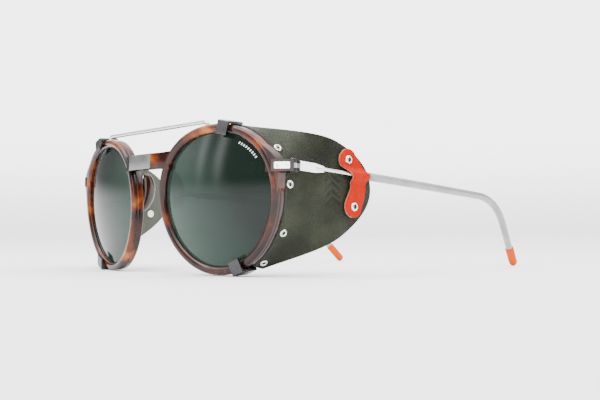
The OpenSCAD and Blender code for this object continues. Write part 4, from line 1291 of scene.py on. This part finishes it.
        loop = self.shop.piece("orange_strap", shape, [g.strap, g.strap_back], side)
        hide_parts(f"strap_loop_{side.value}")
        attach(loop, f"temple_{side.value}")

    def rivets(self, side: Side) -> None:
        """Two rivets: a rounded tubular head turned about its axis, with a dished middle whose faces take a dark metal
        as painted shade in the dish.
        """
        m = self.strap_middle
        whole: Shape | None = None
        ro = self.rivet_d / 2
        top = self.strap_t + 0.05
        low = -0.7 - self.leather_t
        profile = rounded_loop([(0.02, low, 0.01), (0.02, top + 0.05, 0.01), (0.70, top + 0.05, 0.05), (0.86, top + 0.62, 0.22), (ro - 0.3, top + 0.55, 0.3), (ro, top + 0.02, 0.1), (0.75, top, 0.05), (0.75, low, 0.05)], 4)
        for y, z in ((m - 4.3, 4.8), (m - 0.5, -11.1)):
            head = lathe(profile)
            p = head.points
            middle = np.array([p[q].mean(0) for q in head.faces])
            # Painted shade: the dish's faces inside radius 0.8 get the dark metal of slot 1.
            head.slots = ((np.hypot(middle[:, 0], middle[:, 1]) < 0.8) & (middle[:, 2] > 0)).astype(int)
            head.points = self.run.place(np.column_stack([self.strap_base + p[:, 2], y + p[:, 0], z + p[:, 1]]))
            whole = head if whole is None else whole.plus(head)
        if whole.volume() < 0:
            whole.faces = [q[::-1] for q in whole.faces]
        heads = self.shop.piece("strap_studs", whole, [self.shop.finishes.eyelet, self.shop.finishes.dark_band], side)
        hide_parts(f"strap_rivets_{side.value}")
        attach(heads, f"temple_{side.value}")


# ---- metal that keeps its own shape -----------------------------------------------------


@dataclass
class Hardware:
    """Small metal pieces whose shape is right as it comes: they only get their finish."""

    finishes: Finishes
    nodes: dict[str, bpy.types.Object]

    def dress(self) -> None:
        """Gives each piece its finish."""
        table = {"hinge_front_leaf": self.finishes.dark_band, "hinge_temple_leaf": self.finishes.hinge, "hinge_screw": self.finishes.chrome, "shield_carrier": self.finishes.dark_band, "eyelet_washers": self.finishes.eyelet, "rivet_washers": self.finishes.eyelet}
        for stem, material in table.items():
            for side in Side:
                node = self.nodes[f"{stem}_{side.value}"]
                for slot in node.material_slots:
                    slot.material = material
                LOG.info("%s: %s", node.name, material.name)


# ---- studio -----------------------------------------------------------------------------


@dataclass
class Studio:
    """Floor, lights and camera. Positions are in metres from the middle of the lenses."""

    finishes: Finishes
    length_shift: float
    camera_at: tuple[float, float, float] = (0.26685, -0.17939, 0.01402)
    azimuth: float = 46.60
    elevation: float = -2.315
    roll: float = -0.146
    lens: float = 51.47
    backdrop: float = 4.6
    ceiling: float = 3.2
    horizon: float = 2.9

    def build(self) -> None:
        """Sets up everything round the object."""
        self.floor()
        self.lights()
        self.camera()

    def floor(self) -> None:
        """A flat round floor, 8 m across."""
        a = np.radians(np.linspace(0, 360, 96, endpoint=False))
        mesh = bpy.data.meshes.new("studio_floor")
        mesh.from_pydata(np.column_stack([4 * np.cos(a), 4 * np.sin(a), np.full(96, -0.00005)]).tolist(), [], [list(range(96))])
        mesh.materials.append(self.finishes.floor)
        ground = bpy.data.objects.new("studio_floor", mesh)
        bpy.context.scene.collection.objects.link(ground)

    def area(self, name: str, azimuth: float, elevation: float, distance: float, size: tuple[float, float], watts: float) -> None:
        """A softbox that looks at the lenses.

        Args:
            name: The light's name.
            azimuth: Where it stands; 0 is in front of the glasses and 90 to the wearer's left.
            elevation: Degrees above the floor.
            distance: Metres away.
            size: Width and height in metres.
            watts: Power.
        """
        light = bpy.data.lights.new(name, "AREA")
        light.shape = "RECTANGLE"
        light.size, light.size_y = size
        light.energy = watts
        thing = bpy.data.objects.new(name, light)
        a, e = np.radians(azimuth), np.radians(elevation)
        back = Vector((np.sin(a) * np.cos(e), -np.cos(a) * np.cos(e), np.sin(e)))
        aim = Vector((0.0, -self.length_shift * MM + 0.02, 0.026))
        thing.location = aim + back * distance
        thing.rotation_mode = "QUATERNION"
        thing.rotation_quaternion = back.to_track_quat("Z", "Y")
        bpy.context.scene.collection.objects.link(thing)

    def lobe(self, n: Nodes, azimuth: bpy.types.NodeSocket, centre: float, spread: float, gain: float) -> bpy.types.NodeSocket:
        """A soft upright band of the room's light: a bell curve of the azimuth."""
        off = n.math("DIVIDE", n.math("SUBTRACT", azimuth, centre), spread)
        return n.math("MULTIPLY", n.math("EXPONENT", n.math("MULTIPLY", n.math("MULTIPLY", off, off), -0.5)), gain)

    def lights(self) -> None:
        """A pale room that is bright behind the object, with tall soft windows in front of it.

        The windows fade out towards the horizon, so their reflections have no hard end.
        """
        world = bpy.data.worlds.new("pale_room")
        world.use_nodes = True
        n = Nodes(world.node_tree)
        look = n.add("TexCoord").outputs["Generated"]
        part = n.add("SeparateXYZ", {0: look})
        x, y, z = (part.outputs[k] for k in ("X", "Y", "Z"))
        azimuth = n.math("DEGREES", n.math("ARCTAN2", x, n.math("MULTIPLY", y, -1.0)))
        away = n.add("VectorMath", {0: look, 1: (-0.726, 0.687, 0.0)}, operation="DOT_PRODUCT").outputs["Value"]
        room = n.add("MapRange", {"Value": away, "From Min": 0.84, "From Max": 0.905, "To Min": 0.50, "To Max": self.backdrop}, interpolation_type="SMOOTHSTEP").outputs[0]
        ceiling = n.add("MapRange", {"Value": z, "From Min": 0.35, "From Max": 0.8, "To Min": 0.0, "To Max": self.ceiling}, interpolation_type="SMOOTHSTEP").outputs[0]
        sweep = n.add("MapRange", {"Value": z, "From Min": 0.0, "From Max": 0.11, "To Min": 0.0, "To Max": 1.0}, interpolation_type="SMOOTHSTEP").outputs[0]
        room = n.math("ADD", n.math("MULTIPLY_ADD", n.math("SUBTRACT", room, self.horizon), sweep, self.horizon), ceiling)
        rise = n.add("MapRange", {"Value": z, "From Min": -0.02, "From Max": 0.30, "To Min": 0.0, "To Max": 1.0}, interpolation_type="SMOOTHSTEP").outputs[0]
        bands = self.lobe(n, azimuth, -48.0, 12.0, 1.6)
        for centre, spread, gain in ((-27.0, 2.4, 4.5), (-39.0, 2.2, 3.2)):
            bands = n.math("ADD", bands, self.lobe(n, azimuth, centre, spread, gain))
        total = n.math("MULTIPLY_ADD", bands, rise, room)
        level = n.add("MapRange", {"Value": z, "From Min": -0.06, "From Max": 0.03, "To Min": 0.0, "To Max": 1.0}, interpolation_type="SMOOTHSTEP").outputs[0]
        plates = n.math("ADD", self.lobe(n, azimuth, 32.0, 7.0, 5.0), self.lobe(n, azimuth, 132.0, 7.0, 3.2))
        total = n.math("MULTIPLY_ADD", plates, level, total)
        node = next(k for k in world.node_tree.nodes if k.type == "BACKGROUND")
        node.inputs[0].default_value = (1, 1, 1, 1)
        n.tree.links.new(total, node.inputs[1])
        bpy.context.scene.world = world
        self.area("top", 10, 74, 0.8, (0.9, 0.5), 6.0)
        self.area("side", 120, 40, 0.9, (0.5, 0.4), 2.0)

    def camera(self) -> None:
        """The camera, on the wearer's left front, close to the floor."""
        data = bpy.data.cameras.new("camera")
        data.lens, data.sensor_width = self.lens, 36.0
        data.clip_start, data.clip_end = 0.01, 50.0
        cam = bpy.data.objects.new("camera", data)
        a, e, r = (np.radians(v) for v in (self.azimuth, self.elevation, self.roll))
        back = Vector((np.sin(a) * np.cos(e), -np.cos(a) * np.cos(e), np.sin(e)))
        right = (-back).cross(Vector((0, 0, 1))).normalized()
        up = right.cross(-back)
        side, top = right * np.cos(r) + up * np.sin(r), up * np.cos(r) - right * np.sin(r)
        turned = Matrix((side, top, back)).transposed().to_4x4()
        turned.translation = Vector(self.camera_at) + Vector((0.0, -self.length_shift * MM, 0.0))
        cam.matrix_world = turned
        bpy.context.scene.collection.objects.link(cam)
        bpy.context.scene.camera = cam


def main() -> None:
    """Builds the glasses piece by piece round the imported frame."""
    logging.basicConfig(level=logging.INFO, format="%(message)s")
    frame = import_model()
    eye = EyePlane()
    hinge = HingeSizes()
    front_y = float(eye.at(180.0, eye.rim_over, 0.0)[1]) - 2.6
    shift = front_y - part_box("front_frame")[0][1] / MM
    finishes = Finishes()
    shop = Workshop(finishes, shift)
    run = TempleRun(z=hinge.z, leg=ear_leg(hinge.z))
    Studio(finishes, shift).build()
    Hardware(finishes, frame["nodes"]).dress()
    Front(shop, eye, hinge).build()
    for side in Side:
        Lens(shop, eye).build(side)
        ShieldFittings(shop, eye).build(side)
        Temple(shop, run, hinge).build(side)
        SideShield(shop, eye, hinge, run).build(side)
    LOG.info("%d pieces made", len(shop.made))


def ear_leg(top: float, tip_r: float = 1.8) -> float:
    """Length of a temple's straight leg, so that its tip touches the floor.

    The drop along the whole run is worked out for a leg of no length and for a leg of 1 mm; the
    leg's length follows by proportion, because the drop grows evenly with it.
    """
    low, high = (TempleRun(z=top, leg=k) for k in (0.0, 1.0))
    zero = np.zeros((1, 1, 3))
    a = low.frame_at(np.array([low.leg_start]), zero)[0, 0, 2]
    b = high.frame_at(np.array([high.leg_start + 1.0]), zero)[0, 0, 2]
    return float((a - tip_r) / (a - b))


if __name__ == "__main__":
    main()
